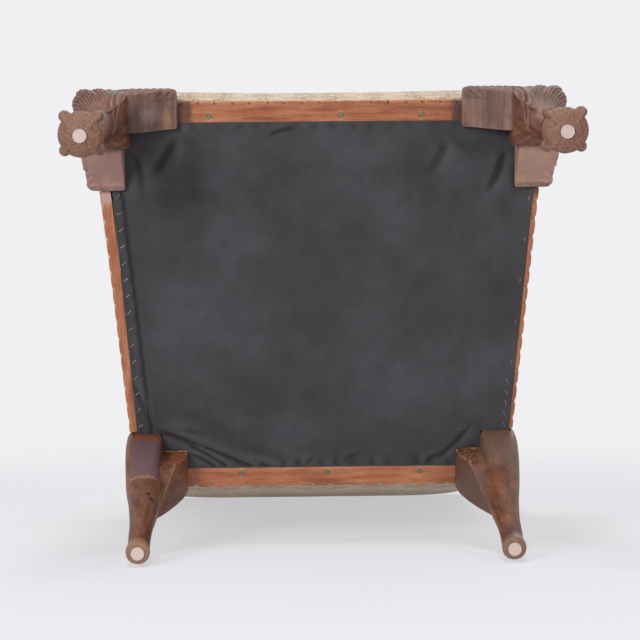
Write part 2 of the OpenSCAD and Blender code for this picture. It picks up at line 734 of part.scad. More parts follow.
wing_front = [
    [1, 0.3], [0.985, 0.46], [0.945, 0.66], [0.88, 0.83], [0.79, 0.95], [0.69, 1], [0.59, 0.99],
    [0.49, 0.945], [0.4, 0.9], [0.31, 0.88], [0.23, 0.91], [0.15, 1.01], [0.08, 1.17], [0.03, 1.37], [0, 1.52]
];
wing_top = back_top - crest_rise * cos(rake);
wing_crown = wing_top + wing_front[0][1] * wing_reach * rake_tan;
wing_rise = wing_crown - arm_top;
function wing_edge_point(p) =
    let (z = arm_top + 1 + p[0] * (wing_rise - 1)) side_point(rear_at(z) - p[1] * wing_reach, z);
wing_line = [for (p = along(wing_front, 2)) wing_edge_point(p)];
wing_count = len(wing_line);
wing_tip = wing_line[wing_count - 1];
wing_far = wing_line[0][0] + 200;
// Height of the top edge at a distance in front of the outside back
function wing_high(distance) = (wing_top - base_z + distance * sin(rake)) / cos(side_lean);
// The front edge moved in, with its lower end resting on the roll of the arm
function wing_edge(moved, depth) =
    let (line = moved == 0 ? wing_line : inset(concat(wing_line, [[wing_far, wing_tip[1]], [wing_far, wing_line[0][1]]]), moved))
        [for (i = [0:wing_count - 1]) let (p = line[i], left = wing_count - 1 - i, low = over_roll(run(p[0]), depth))
            [p[0], left == 0 ? low : max(p[1], low + 0.1 * left)]];
// Points up the rear edge, one for each point of the front edge
function wing_rear(moved, depth, distance) =
    let (low = over_roll(run(frame_d), depth), high = wing_high(distance) - moved)
        [for (i = [0:wing_count - 1]) let (h = lerp(low, high, i / (wing_count - 1))) [back_s(h, depth, distance), h]];
board_edge_in = 12;
// The board's front edge stops short of the pad's tip
function board_edge(grow) =
    [for (i = [0:wing_count - 1]) let (p = wing_edge(board_edge_in - grow, rail_in), left = wing_count - 1 - i)
        [max(p[i][0], wing_tip[0] + 26 - grow + 0.5 * left), max(p[i][1], arm_top - base_z + 2 * fit + 0.1 * left)]];
post_front = rail_in + back_post_d + fit;
module wing_board() {
    color(ash) difference() {
        in_side(rail_in) linear_extrude(side_rail_t - rail_in)
            polygon(concat(board_edge(0), [for (p = wing_rear(board_edge_in, side_rail_t, post_front - 12))
                [p[0], max(p[1], arm_top - base_z + 2 * fit)]]));
        in_back(-400) translate([-front_w, -200, 0]) cube([2 * front_w, 1600, 400 + rail_in + back_post_d + joint_fit]);
    }
}
module wing_pad() {
    edge = board_edge(fit);
    back_edge = [for (i = [wing_count - 1:-1:0]) edge[i]];
    inner = side_rail_t + fit;
    band = [[rail_in, 3], [rail_in + 5, 0], for (k = [1:3]) [lerp(rail_in + 5, inner, k / 4), 0], [inner, 0]];
    full = [[inner, 0], [wing_t - 11, 2], [wing_t - 5, 6], [wing_t - 2, 11], [wing_t - 0.6, 18]];
    // The face rises a little from the rounded front to a thin strip along the back
    last_front = wing_edge(18, wing_t);
    last_rear = wing_rear(18, wing_t, post_front);
    strip = concat([for (i = [0:wing_count - 1]) lerp(last_front[i], last_rear[wing_count - 1 - i], 0.93)], last_rear);
    color(cloth) in_side() skin(lace = true, rings = concat(
        [for (s = band) concat(level(wing_edge(s[1], s[0]), s[0]), level(back_edge, max(s[0], rail_in + 0.5)))],
        [for (s = full) level(concat(wing_edge(s[1], s[0]), wing_rear(s[1], s[0], post_front)), s[0])],
        [level(strip, wing_t)]));
}
module outside_wing_panel() {
    low_rear = over_roll(run(arm_far), cover_t);
    color(cloth) in_side() linear_extrude(cover_t)
        polygon(concat(wing_edge(0, cover_t), [[back_s(low_rear, 0, 2), low_rear], [back_s(wing_high(2), 0, 2), wing_high(2)]]));
}
module outside_arm_panel() {
    front_s = (arm_set + facing_t) / cos(side_taper);
    step_h = arm_base - base_z;
    rear_high = under_roll(1, cover_t) - 3 * fit;
    rear_s = back_s(rear_high, 0, 2);
    top_edge = [for (k = [6:-1:0]) let (s = lerp(front_s, rear_s, k / 7))
        [s, under_roll(run(s * cos(side_taper)), cover_t) - 2 * fit]];
    color(cloth) in_side() linear_extrude(cover_t)
        polygon(concat([[front_s - facing_t, fit], [back_s(fit, 0, 2), fit], [rear_s, rear_high]],
            top_edge, [[front_s, step_h], [front_s - facing_t, step_h]]));
}

// Back padding and covers

pad_low = (deck_top + fit - base_z) / cos(rake);
back_pad_deep = rail_in + back_post_d;
function back_half(v) = rear_w / 2 - lerp(arm_t - 4, wing_t - 5, ease(max(0, min(1, (v - 260) / 120))));
function back_pad_outline(v_low) = concat(
    [for (k = [0:8]) let (v = lerp(v_low, back_len - 60, k / 8)) [back_half(v), v]],
    crest_points(back_half(back_len) - 12, 24),
    [for (k = [8:-1:0]) let (v = lerp(v_low, back_len - 60, k / 8)) [-back_half(v), v]]
);
module inside_back_pad() {
    line = back_pad_outline(pad_low);
    mid_v = lerp(pad_low, back_len, 0.45);
    steps = [[0, 2, 1], [4, 0, 1], [back_pad_t * 0.6, 0, 1], [back_pad_t * 0.85, 4, 1], [back_pad_t, 12, 1],
             [back_pad_t + 4, 12, 0.9], [back_pad_t + 7, 12, 0.7], [back_pad_t + 8.5, 12, 0.4], [back_pad_t + 9, 12, 0.15]];
    color(cloth) difference() {
        in_back(back_pad_deep + fit) skin([
            for (s = steps)
                level([for (p = inset(line, s[1])) [p[0] * s[2], mid_v + (p[1] - mid_v) * s[2]]], s[0])
        ]);
        translate(at(-front_w, 0, deck_top - 200)) cube([2 * front_w, 2 * frame_d, 200 + fit]);
    }
}
module crest_pad() {
    half = rear_w / 2 - cover_t;
    color(cloth) in_back(rail_in) linear_extrude(back_post_d)
        polygon(concat([for (p = crest_points(half, crest_in - fit)) [-p[0], p[1]]], crest_points(half, 0)));
}
module outside_back_panel() {
    color(cloth) in_back() translate([0, 0, 0]) linear_extrude(cover_t)
        polygon(concat([[-rear_w / 2 + cover_t + fit, fit], [rear_w / 2 - cover_t - fit, fit]],
            crest_points(rear_w / 2 - cover_t - fit, 0)));
}

// Seat suspension and covers

spring_z = leg_h + 4 + 2 * webbing_t;
module seat_webbing() {
    side = half_at(frame_d / 2) - frame_zone;
    low = leg_h + 4;
    color(jute) {
        for (x = [-2:2]) translate(at(x * 84 - webbing_w / 2, rail_in + rail_t, low + webbing_t))
            cube([webbing_w, rear_block_a() - rail_in - rail_t - 4, webbing_t]);
        for (k = [0:4]) {
            a = lerp(95, frame_d - 95 - webbing_w, k / 4);
            half = half_at(a + webbing_w) - (frame_zone + 1) / cos(side_taper);
            translate(at(-half, a, low)) cube([2 * half, webbing_w, webbing_t]);
        }
    }
}
module spring() {
    wraps = spring_turns;
    per_turn = 8;
    high = rail_top - spring_z - wire_d;
    count = wraps * per_turn;
    path = [for (i = [0:count]) let (t = i / count, r = lerp(spring_r[1], spring_r[0], abs(2 * t - 1)))
        [r * cos(360 * wraps * t), r * sin(360 * wraps * t), wire_d / 2 + high * ease(t)]];
    tube(path, [for (p = path) wire_d / 2], [0, 0, 1], 5);
}
module seat_springs() {
    color(steel) for (i = [0:spring_rows - 1], j = [0:spring_rows - 1]) {
        x = lerp(-spring_out, spring_out, i / (spring_rows - 1));
        a = lerp(spring_in, frame_d - spring_in, j / (spring_rows - 1));
        translate(at(x, a, spring_z + 0.1)) spring();
    }
}
// How far back the seat can be as wide as the frame, in front of the arms
ear_limit = arm_set - arm_t * sin(side_taper);
function seat_outline(front_a, ear_a, edge, neck, back_a) =
    let (wide = half_at(front_a) - edge, near = half_at(ear_a) - edge,
         neck_x = half_at(ear_a) - neck, back_x = half_at(back_a) - neck)
        [[-wide, front_a], [wide, front_a], [near, ear_a], [neck_x, ear_a], [back_x, back_a],
         [-back_x, back_a], [-neck_x, ear_a], [-near, ear_a]];
module seat_sheet(points, low, thick) {
    translate(at(0, 0, low)) linear_extrude(thick) polygon(points);
}
seat_end = rear_at(rail_top) - post_front / cos(rake);
module spring_burlap() {
    color(jute) seat_sheet(seat_outline(rail_in + 2, ear_limit - 1, rail_in + 2, frame_zone + 6, seat_end), rail_top, burlap_t);
}
module deck_pad() {
    thick = deck_top - rail_top - burlap_t;
    color(cloth) seat_sheet(seat_outline(rail_in, ear_limit - welt_d - 1, rail_in, arm_t + 4, seat_end), rail_top + burlap_t, thick);
}
border_bow = 6;
module front_border() {
    wrap = arm_set - fit;
    color(cloth) translate(at(0, 0, base_z + fit)) linear_extrude(deck_top - base_z - fit)
        polygon(concat(
            [for (k = [0:24]) let (x = lerp(-front_w / 2 + 2, front_w / 2 - 2, k / 24))
                [x, -border_bow * pow(2 * x / front_w, 2)]],
            [[half_at(wrap), wrap], [half_at(wrap) - cover_t, wrap], [half_at(rail_in) - cover_t, rail_in - fit],
             [-half_at(rail_in) + cover_t, rail_in - fit], [-half_at(wrap) + cover_t, wrap], [-half_at(wrap), wrap]]));
}

// Dust cover stretched under the rails, with its edges against the strips

cover_thick = 0.8;
module dust_cover() {
    front_a = strip_w + fit;
    back_a = frame_d - strip_w - fit;
    low = leg_h - cover_thick;
    color(black_cloth) difference() {
        translate(at(0, 0, low)) linear_extrude(cover_thick)
            polygon([[-half_at(front_a) + side_strip_w - 1, front_a], [half_at(front_a) - 9, front_a],
                     [half_at(back_a) - 6.5, back_a], [-half_at(back_a) + side_strip_w - 4, back_a]]);
        both_sides() {
            translate(at(-knee_edge - 5, -knee_out - 5, low - 1))
                cube([knee_w + 5 + fit, knee_w + bracket_l + 5 + 2 * fit, 3]);
            translate(at(-knee_edge - 5, -knee_out - 5, low - 1))
                cube([knee_w + bracket_l + 5 + 2 * fit, bracket_t + 5 + fit, 3]);
            translate(at(-rear_knee_out - 5, frame_d - rear_knee_d - fit, low - 1))
                cube([rear_knee_w + rear_bracket_l + 5 + 2 * fit, rear_knee_d + 20, 3]);
        }
    }
}
staple_w = 10;
staple_d = 0.7;
module dust_cover_staples() {
    low = leg_h - cover_thick - staple_d;
    a_list = [for (k = [0:8]) lerp(knee_w + bracket_l + 20, frame_d - rear_knee_d - 20, k / 8)];
    color(steel) {
        for (a = a_list) translate(at(-half_at(a) + side_strip_w + 8, a, low)) rotate([0, 0, 35])
            translate([-staple_w / 2, -staple_d / 2, 0]) cube([staple_w, staple_d, staple_d]);
        for (a = a_list) translate(at(half_at(a) - 19, a, low)) rotate([0, 0, 55])
            translate([-staple_w / 2, -staple_d / 2, 0]) cube([staple_w, staple_d, staple_d]);
    }
}
module edge_strip_screws() {
    color(steel) {
        at_front_screws() wood_screw();
        at_rear_screws() wood_screw();
    }
}

// Loose seat cushion. Its outline is a T with round corners; sides draw in between the corners

cushion_low = deck_top + fit;
cushion_front = 13;
cushion_back = 506;
cushion_bow = 5;
cushion_gap = 3;
function corner(p, q, s, r, steps) =
    let (u = unit(p - q), v = unit(s - q), turn = acos(max(-1, min(1, u * v))), d = r / tan(turn / 2),
         c = q + unit(u + v) * r / sin(turn / 2))
        [for (k = [0:steps]) let (w = unit(lerp(q + u * d - c, q + v * d - c, k / steps))) c + w * r];
function rounded(points, radii, steps) = [
    let (n = len(points))
        for (i = [0:n - 1])
            each corner(points[(i + n - 1) % n], points[i], points[(i + 1) % n], radii[i], steps)
];
function filled(points, longest) = [
    let (n = len(points))
        for (i = [0:n - 1])
            let (p = points[i], q = points[(i + 1) % n], count = max(1, ceil(norm(q - p) / longest)),
                 bow = norm(q - p) > 150 ? cushion_bow : 0, side = unit([p[1] - q[1], q[0] - p[0]]))
                each [for (k = [0:count - 1]) let (t = k / count) lerp(p, q, t) + side * bow * 4 * t * (1 - t)]
];
cushion_radii = [26, 26, 14, 12, 30, 30, 12, 14];
cushion_ear = ear_limit - 2 * welt_d - cushion_gap;
cushion_outline = filled(rounded(
    seat_outline(cushion_front, cushion_ear, rail_in + cushion_gap,
        arm_t + welt_d + cushion_bow + cushion_gap, cushion_back), cushion_radii, 3), 60);
function lift(points, z) = [for (p = points) [p[0], front_y + p[1], z]];
// The crown rises with the distance from the outline, on rings that shrink towards a point between the ears
crown_run = 150;
crown_mid = lerp(cushion_front, cushion_ear, 0.7);
crown_shares = [1, 0.985, 0.95, 0.88, 0.75, 0.58, 0.38, 0.2, 0.05];
function segment_distance(p, q, r) =
    norm(p - lerp(q, r, max(0, min(1, (p - q) * (r - q) / pow(norm(r - q), 2)))));
function edge_distance(p) = let (n = len(cushion_outline))
    min([for (i = [0:n - 1]) segment_distance(p, cushion_outline[i], cushion_outline[(i + 1) % n])]);
function crown_at(p, less) = let (u = min(1, max(0, edge_distance(p) - less) / crown_run))
    crown_h * pow(1 - pow(1 - u, 2.6), 0.62);
function crown_rings(less, high, rise = 1) = [
    for (k = crown_shares)
        [for (p = inset(cushion_outline, less))
            let (q = [p[0] * k, lerp(crown_mid, p[1], k)]) [q[0], front_y + q[1], high + rise * crown_at(q, less)]]
];
boxing_top = cushion_low + boxing_h;
module cushion_core() {
    inside = cloth_t + 0.8;
    base = lift(inset(cushion_outline, inside), cushion_low + cloth_t + fit);
    color(foam) skin(concat([base], crown_rings(inside, boxing_top - inside - 2, 0.6)));
}
module cushion_top_cover() {
    under = crown_rings(cloth_t, boxing_top - cloth_t);
    edge = lift(cushion_outline, boxing_top - cloth_t);
    color(cloth) skin(concat([for (k = [len(under) - 1:-1:0]) under[k]], [edge], crown_rings(0, boxing_top)));
}
module cushion_bottom_cover() {
    color(cloth) translate(at(0, 0, cushion_low)) linear_extrude(cloth_t) polygon(inset(cushion_outline, cloth_t + fit));
}
module boxing_band() {
    difference() {
        polygon(cushion_outline);
        polygon(inset(cushion_outline, cloth_t));
    }
}
module cushion_boxing() {
    color(cloth) difference() {
        translate(at(0, 0, cushion_low)) linear_extrude(boxing_h - cloth_t - fit) boxing_band();
        translate(at(-zip_l / 2 - fit, cushion_back - 12, zip_low - fit)) cube([zip_l + 2 * fit, 30, zip_w + 2 * fit]);
    }
}
zip_l = 320;
zip_w = 8;
zip_low = cushion_low + boxing_h / 2 - zip_w / 2;
module cushion_zip() {
    color("#a8977a") translate(at(0, 0, zip_low)) linear_extrude(zip_w) intersection() {
        boxing_band();
        translate([-zip_l / 2, cushion_back - 20]) square([zip_l, 40]);
    }
}
module cushion_welts() {
    r = welt_d / 2;
    line = inset(cushion_outline, -r - 0.1);
    color(cloth) for (z = [cushion_low + r, boxing_top - r])
        ring_tube(lift(line, z), r, [0, 0, 1], 6);
}

front_rail();
rear_rail();
side_rail();  // left_side_rail
right_of() side_rail();  // right_side_rail
corner_blocks();
corner_block_screws();
front_leg();  // front_left_leg
right_of() front_leg();  // front_right_leg
rear_leg();  // rear_left_leg
right_of() rear_leg();  // rear_right_leg
rear_leg_dowels();
foot_glides();
front_left_knee_brackets();
right_of() front_left_knee_brackets();  // front_right_knee_brackets
rear_left_knee_bracket();
right_of() rear_left_knee_bracket();  // rear_right_knee_bracket
front_edge_strip();
rear_edge_strip();
side_edge_strip();  // left_edge_strip
right_of() side_edge_strip();  // right_edge_strip
edge_strip_screws();
back_post();  // left_back_post
right_of() back_post();  // right_back_post
crest_rail();
lower_back_rail();
arm_post();  // left_arm_post
right_of() arm_post();  // right_arm_post
arm_board();  // left_arm_board
right_of() arm_board();  // right_arm_board
wing_board();  // left_wing_board
right_of() wing_board();  // right_wing_board
seat_webbing();
seat_springs();
spring_burlap();
deck_pad();
dust_cover();
dust_cover_staples();
back_webbing();
front_border();
inside_back_pad();
crest_pad();
outside_back_panel();
arm_pad();  // left_arm_pad
right_of() arm_pad();  // right_arm_pad
arm_facing();  // left_arm_facing
right_of() arm_facing();  // right_arm_facing
arm_facing_welts();
wing_pad();  // left_wing_pad
right_of() wing_pad();  // right_wing_pad
outside_arm_panel();  // left_outside_arm_panel
right_of() outside_arm_panel();  // right_outside_arm_panel
outside_wing_panel();  // left_outside_wing_panel
right_of() outside_wing_panel();  // right_outside_wing_panel
cushion_core();
cushion_top_cover();
cushion_bottom_cover();
cushion_boxing();
cushion_welts();
cushion_zip();
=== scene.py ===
"""Wing chair seen from underneath: carved mahogany legs, scalloped edge strips, a black dust cover, and the padded
covers and loose cushion above them. Shapes are worked out in mm and laid down in metres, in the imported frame."""

import math

import bmesh
import bpy
import numpy as np
from mathutils import Matrix, Vector, noise
from mathutils.bvhtree import BVHTree
from mathutils.kdtree import KDTree


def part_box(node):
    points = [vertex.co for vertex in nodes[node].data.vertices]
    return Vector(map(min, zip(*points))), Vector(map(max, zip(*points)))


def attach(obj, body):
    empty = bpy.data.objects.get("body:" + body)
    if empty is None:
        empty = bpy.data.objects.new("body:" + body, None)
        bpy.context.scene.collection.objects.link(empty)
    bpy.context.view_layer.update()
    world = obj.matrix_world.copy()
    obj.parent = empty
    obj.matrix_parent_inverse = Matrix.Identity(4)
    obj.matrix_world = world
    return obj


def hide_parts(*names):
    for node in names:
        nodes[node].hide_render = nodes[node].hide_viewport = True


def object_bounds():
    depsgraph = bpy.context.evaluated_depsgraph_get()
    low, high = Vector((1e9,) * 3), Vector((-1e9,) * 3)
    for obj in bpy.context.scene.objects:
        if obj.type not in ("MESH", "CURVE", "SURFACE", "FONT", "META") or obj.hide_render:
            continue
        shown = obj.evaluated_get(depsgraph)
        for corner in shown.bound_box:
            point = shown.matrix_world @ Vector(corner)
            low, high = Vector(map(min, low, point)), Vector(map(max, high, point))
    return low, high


MM = 0.001
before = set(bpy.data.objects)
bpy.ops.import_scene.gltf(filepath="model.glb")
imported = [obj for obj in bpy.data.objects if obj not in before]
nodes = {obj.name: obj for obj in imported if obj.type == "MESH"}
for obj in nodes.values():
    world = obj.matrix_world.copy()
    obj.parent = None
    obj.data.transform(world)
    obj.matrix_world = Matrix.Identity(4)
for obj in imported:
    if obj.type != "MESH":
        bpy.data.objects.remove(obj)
cad_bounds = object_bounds()

# Where the chair's main lines lie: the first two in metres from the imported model, the rest in mm
FRONT_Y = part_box("front_edge_strip")[0].y
STRIP_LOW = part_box("front_edge_strip")[0].z
RAKE = math.radians(17.6)
FRAME_DEEP = 600.0
FRAME_HALF = 345.0
SIDE_SLOPE = 0.095
UNDERSIDE = 300.0
STRIP_WIDE = 32.0
REAR_STRIP_FRONT = FRAME_DEEP - STRIP_WIDE


def depth_at(depth):
    """Y, in mm, of a depth behind the seat frame's front edge."""
    return FRONT_Y / MM + depth


def side_at(depth):
    """How far the seat frame's side lies from the middle, in mm, at that depth."""
    return FRAME_HALF - SIDE_SLOPE * depth


# Camera: the photo shows the underside, with the chair's front towards the top of the picture
IMAGE_PX = 640
FOCAL_PX = 2204.4
SENSOR_MM = 36.0
CAMERA_AT = Vector((-0.067, -0.7996, -2.9968))
TILT = math.radians(12.226)
YAW = math.radians(-1.116)
ROLL = math.radians(-0.595)


def make_camera():
    ahead = Vector((0, math.sin(TILT), math.cos(TILT)))
    up = Vector((0, -math.cos(TILT), math.sin(TILT)))
    right = Vector((1, 0, 0))
    turn = Matrix((right, up, -ahead)).transposed()
    turn = turn @ Matrix.Rotation(YAW, 3, "Y") @ Matrix.Rotation(ROLL, 3, "Z")
    data = bpy.data.cameras.new("photo_camera")
    data.sensor_width = SENSOR_MM
    data.lens = SENSOR_MM * FOCAL_PX / IMAGE_PX
    data.clip_end = 60
    camera = bpy.data.objects.new("photo_camera", data)
    camera.matrix_world = Matrix.Translation(CAMERA_AT) @ turn.to_4x4()
    bpy.context.scene.collection.objects.link(camera)
    bpy.context.scene.camera = camera


make_camera()
bpy.context.scene.view_settings.view_transform = "Standard"


# Colours and nodes


def linear(hex_colour):
    """An sRGB hex colour as the linear colour that a socket takes."""
    parts = [int(hex_colour[i : i + 2], 16) / 255 for i in (1, 3, 5)]
    return [c / 12.92 if c <= 0.04045 else ((c + 0.055) / 1.055) ** 2.4 for c in parts] + [1]


def add(tree, kind, *values, inputs=(), **settings):
    """A node with its settings, its kind named in full or, for a shader node, by what follows ShaderNode. Values go to
    its open inputs in turn, and others by name. Each is a plain value, a socket to link, or a node, which stands for
    its first open output."""
    node = tree.nodes.new(kind if "Node" in kind else "ShaderNode" + kind)
    for name, value in settings.items():
        setattr(node, name, value)
    targets = list(zip([s for s in node.inputs if s.enabled], values))
    targets += [(node.inputs[name], value) for name, value in dict(inputs).items()]
    for target, value in targets:
        if isinstance(value, bpy.types.Node):
            value = next(s for s in value.outputs if s.enabled)
        if isinstance(value, bpy.types.NodeSocket):
            tree.links.new(value, target)
        else:
            target.default_value = value
    return node


def toned(tree, share, tones):
    """A finish's colour, from its (share, hex colour) tones."""
    node = add(tree, "ValToRGB", share)
    elements = node.color_ramp.elements
    while len(elements) < len(tones):
        elements.new(0.5)
    for element, (position, hex_colour) in zip(elements, tones):
        element.position = position
        element.color = linear(hex_colour)
    return node


def tinted(tree, colour, share, hex_colour, most=1.0):
    """A colour covered by another as far as a share of the most."""
    if most != 1.0:
        share = add(tree, "Math", share, most, operation="MULTIPLY")
    return add(tree, "Mix", share, colour, linear(hex_colour), data_type="RGBA")


def place_on(tree):
    """The point's place on the object, in metres."""
    return add(tree, "TexCoord").outputs["Object"]


def fibre_coords(tree, stretch):
    """The point's place, with the axis that the fibres follow scaled apart from the others."""
    return add(tree, "Mapping", inputs={"Vector": place_on(tree), "Scale": stretch})


def new_material(name):
    material = bpy.data.materials.new(name)
    material.use_nodes = True
    material.node_tree.nodes.clear()
    return material, material.node_tree


def surface(tree, colour, looks, height, depth_mm, strength=0.5):
    """Ends a material in a shader with that colour and those looks, bumped by a height."""
    bump = add(tree, "Bump", inputs={"Strength": strength, "Distance": depth_mm * MM, "Height": height})
    shader = add(tree, "BsdfPrincipled", inputs={"Base Color": colour, "Normal": bump, **looks})
    add(tree, "OutputMaterial", shader)


# Materials

# Further, in mm, than any part of the chair: a mark is open on that side
FAR = 9000.0


def marked(tree, colour, marks):
    """A colour with soft-edged, ragged boxes of others over it. Each mark has its low and high corners, as x, depth
    and height in mm, its softness in mm, its colour and how far it covers."""
    source = place_on(tree)
    noisy = add(tree, "TexNoise", source, 130.0, 3.0).outputs["Color"]
    ragged = add(tree, "VectorMath", noisy, (0.5, 0.5, 0.5), operation="SUBTRACT")
    for low, high, soft_mm, mark_hex, cover in marks:
        pushed = add(tree, "VectorMath", ragged, soft_mm * 1.6 * MM, operation="SCALE")
        place = add(tree, "VectorMath", source, pushed, operation="ADD")
        inside = cover
        for axis, socket in enumerate(add(tree, "SeparateXYZ", place).outputs):
            for corner, inwards in ((low, 1), (high, -1)):
                edge = depth_at(corner[axis]) if axis == 1 else corner[axis]
                if abs(edge) < FAR / 2:
                    soft = inwards * soft_mm / 2
                    past = add(tree, "MapRange", socket, (edge - soft) * MM, (edge + soft) * MM)
                    inside = add(tree, "Math", inside, past, operation="MULTIPLY")
        colour = tinted(tree, colour, inside, mark_hex)
    return colour


def wood(name, tones, along, gloss, streak_mm=9.0, grime=0.0, grime_hex="#2a1a15", worn_hex="#a67c62", marks=()):
    """Mahogany or a plain hardwood: long streaks and short dark pores along one axis, with an oiled or waxed sheen.
    Grime lies in the hollows, and wear leaves the edges lighter."""
    material, tree = new_material(name)
    coords = fibre_coords(tree, [0.09 if axis == along else 1.0 for axis in range(3)])
    streaks = add(tree, "TexNoise", coords, 1000 / streak_mm, 5, 0.6, inputs={"Distortion": 0.4})
    broad = add(tree, "TexNoise", place_on(tree), 14, 3, 0.5)
    colour = toned(tree, add(tree, "Mix", 0.38, streaks, broad), tones)
    pores = add(tree, "MapRange", add(tree, "TexNoise", coords, 520, 2, 0.5), 0.6, 0.72)
    colour = tinted(tree, colour, pores, grime_hex, 0.45)
    if grime:
        hollow = add(tree, "NewGeometry").outputs["Pointiness"]
        speckle = add(tree, "TexNoise", place_on(tree), 260, 3, 0.65)
        speckled = add(tree, "Math", speckle, 0.05, hollow, operation="MULTIPLY_ADD")
        colour = tinted(tree, colour, add(tree, "MapRange", speckled, 0.535, 0.475), grime_hex, grime)
        colour = tinted(tree, colour, add(tree, "MapRange", hollow, 0.515, 0.56), worn_hex, 0.55)
    if marks:
        colour = marked(tree, colour, marks)
    rough = add(tree, "MapRange", broad, 0.3, 0.7, *gloss)
    looks = {"Roughness": rough, "Coat Weight": 0.03, "Coat Roughness": 0.4, "Specular IOR Level": 0.35}
    half = add(tree, "Math", streaks, 0.5, operation="MULTIPLY")
    surface(tree, colour, looks, add(tree, "Math", half, pores, operation="SUBTRACT"), 0.35)
    return material


def woven_cover(name):
    """Upholstery weave in cream with a tan mirrored scroll figure, matt and slightly ribbed."""
    material, tree = new_material(name)
    source = place_on(tree)
    folded = []
    for socket, repeat in zip(add(tree, "SeparateXYZ", source).outputs, (0.085, 0.085, 0.12)):
        above = add(tree, "Math", socket, 3 * repeat, operation="ADD")
        folded.append(add(tree, "Math", above, repeat, operation="PINGPONG"))
    place = add(tree, "CombineXYZ", *folded)
    scroll = add(tree, "TexNoise", place, 26, 2.5, 0.55, inputs={"Distortion": 1.1})
    leaf = add(tree, "TexNoise", place, 62, 2, 0.5, inputs={"Distortion": 0.8})
    middle = add(tree, "Math", scroll, 0.5, operation="SUBTRACT")
    line = add(tree, "Math", middle, operation="ABSOLUTE")
    vine = add(tree, "MapRange", line, 0.035, 0.012)
    inner = add(tree, "MapRange", scroll, 0.53, 0.6)
    outer = add(tree, "MapRange", leaf, 0.46, 0.52)
    blade = add(tree, "Math", inner, outer, operation="MULTIPLY")
    figure = add(tree, "Math", vine, blade, operation="MAXIMUM")
    ground = toned(tree, add(tree, "TexNoise", source, 240, 3, 0.7), CREAM_TONES)
    slub = add(tree, "TexNoise", fibre_coords(tree, (1, 1, 7)), 150, 3, 0.65)
    figured = add(tree, "Math", figure, 0.8, operation="MULTIPLY")
    colour = add(tree, "Mix", figured, ground, toned(tree, slub, TAN_TONES), data_type="RGBA")
    colour = tinted(tree, colour, add(tree, "MapRange", slub, 0.55, 0.75), "#9c8059", 0.22)
    # Threads are really 0.6 mm apart, and are drawn 2 mm apart so that they show
    bands_per_metre = 500 / 2.0 / 6.28
    across, down = (add(tree, "TexWave", source, bands_per_metre, 1.5, 1, bands_direction=axis).outputs["Fac"]
        for axis in "ZX")
    threads = add(tree, "Mix", 0.5, across, down)
    ribbed = add(tree, "Math", figure, 0.8, threads, operation="MULTIPLY_ADD")
    surface(tree, colour, {"Roughness": 0.88, "Sheen Weight": 0.2, "Sheen Roughness": 0.5}, ribbed, 0.5, 0.55)
    return material


def plain_cloth(name, tones, thread_mm, sheen, rough=0.9, depth=0.3, fleck=0.35, painted_fold_shading=None):
    """A plain cloth: fine fibres, with slubs and flecks that wear has made paler. Given the name of an attribute,
    it paints light and shade from it: towards 0, in fold valleys and creases, the cloth is painted darker as shade,
    and towards 1, on fold crests, it is painted paler as light."""
    material, tree = new_material(name)
    fibres = add(tree, "TexNoise", place_on(tree), 1000 / thread_mm, 3, 0.7)
    broad = add(tree, "TexNoise", place_on(tree), 9, 4, 0.6)
    colour = toned(tree, add(tree, "Mix", fleck, broad, fibres), tones)
    if painted_fold_shading:
        # Painted shade: the attribute darkens fold valleys and creases. Painted light: it makes fold crests paler.
        fold_lightness = add(tree, "Attribute", attribute_name=painted_fold_shading).outputs["Fac"]
        fold_shade_tint = toned(tree, fold_lightness, [(0.0, "#8a888c"), (0.5, "#f4f4f4"), (1.0, "#ffffff")])
        colour = add(tree, "Mix", 1.0, colour, fold_shade_tint, data_type="RGBA", blend_type="MULTIPLY")
        colour = tinted(tree, colour, add(tree, "MapRange", fold_lightness, 0.5, 1.0, 0, 0.3), tones[-1][1])
    surface(tree, colour, {"Roughness": rough, "Sheen Weight": sheen, "Sheen Roughness": 0.45}, fibres, depth)
    return material


def dull_metal(name, tones, rough):
    """Plain steel or plated steel, dulled by age."""
    material, tree = new_material(name)
    spots = add(tree, "TexNoise", place_on(tree), 700, 4, 0.65)
    surface(tree, toned(tree, spots, tones), {"Metallic": 0.85, "Roughness": rough}, spots, 0.1, 0.4)
    return material


CARVED_TONES = [(0.34, "#3b221b"), (0.45, "#5f3929"), (0.55, "#7b4c3c"), (0.68, "#9d6f58")]
PLAIN_TONES = [(0.34, "#40231a"), (0.46, "#613b2a"), (0.57, "#774a33"), (0.7, "#94654b")]
STRIP_TONES = [(0.34, "#7f472f"), (0.46, "#a0603f"), (0.58, "#b37350"), (0.72, "#c38a66")]
RAW_TONES = [(0.36, "#4d3a35"), (0.46, "#705249"), (0.56, "#876860"), (0.68, "#a3806c")]
ASH_TONES = [(0.3, "#b3935f"), (0.5, "#c9a978"), (0.7, "#d8bd90")]
CREAM_TONES = [(0.3, "#bba388"), (0.5, "#cfb99d"), (0.72, "#dfccb2")]
TAN_TONES = [(0.3, "#7f6349"), (0.5, "#9b7c5d"), (0.7, "#b29372")]
BALL_MARKS = [((-FAR, -FAR, 0), (FAR, FAR, 64), 9, "#98725f", 0.5)]
BRACKET_MARKS = [((-236, 12, 0), (-222, 40, 300), 12, "#b58e66", 0.42),
    ((214, 0, 0), (234, 30, 300), 12, "#a98560", 0.3),
    ((-400, 62, 0), (-280, 126, 300), 14, "#b08c80", 0.55),
    ((280, 62, 0), (400, 126, 300), 14, "#c09a86", 0.6),
    ((210, -30, 0), (283, 30, 300), 16, "#54423a", 0.35),
    ((-262, 4, 0), (-240, 22, 300), 12, "#9c8584", 0.5),
    ((-284, 12, 0), (-262, 42, 300), 10, "#4b3c36", 0.5)]
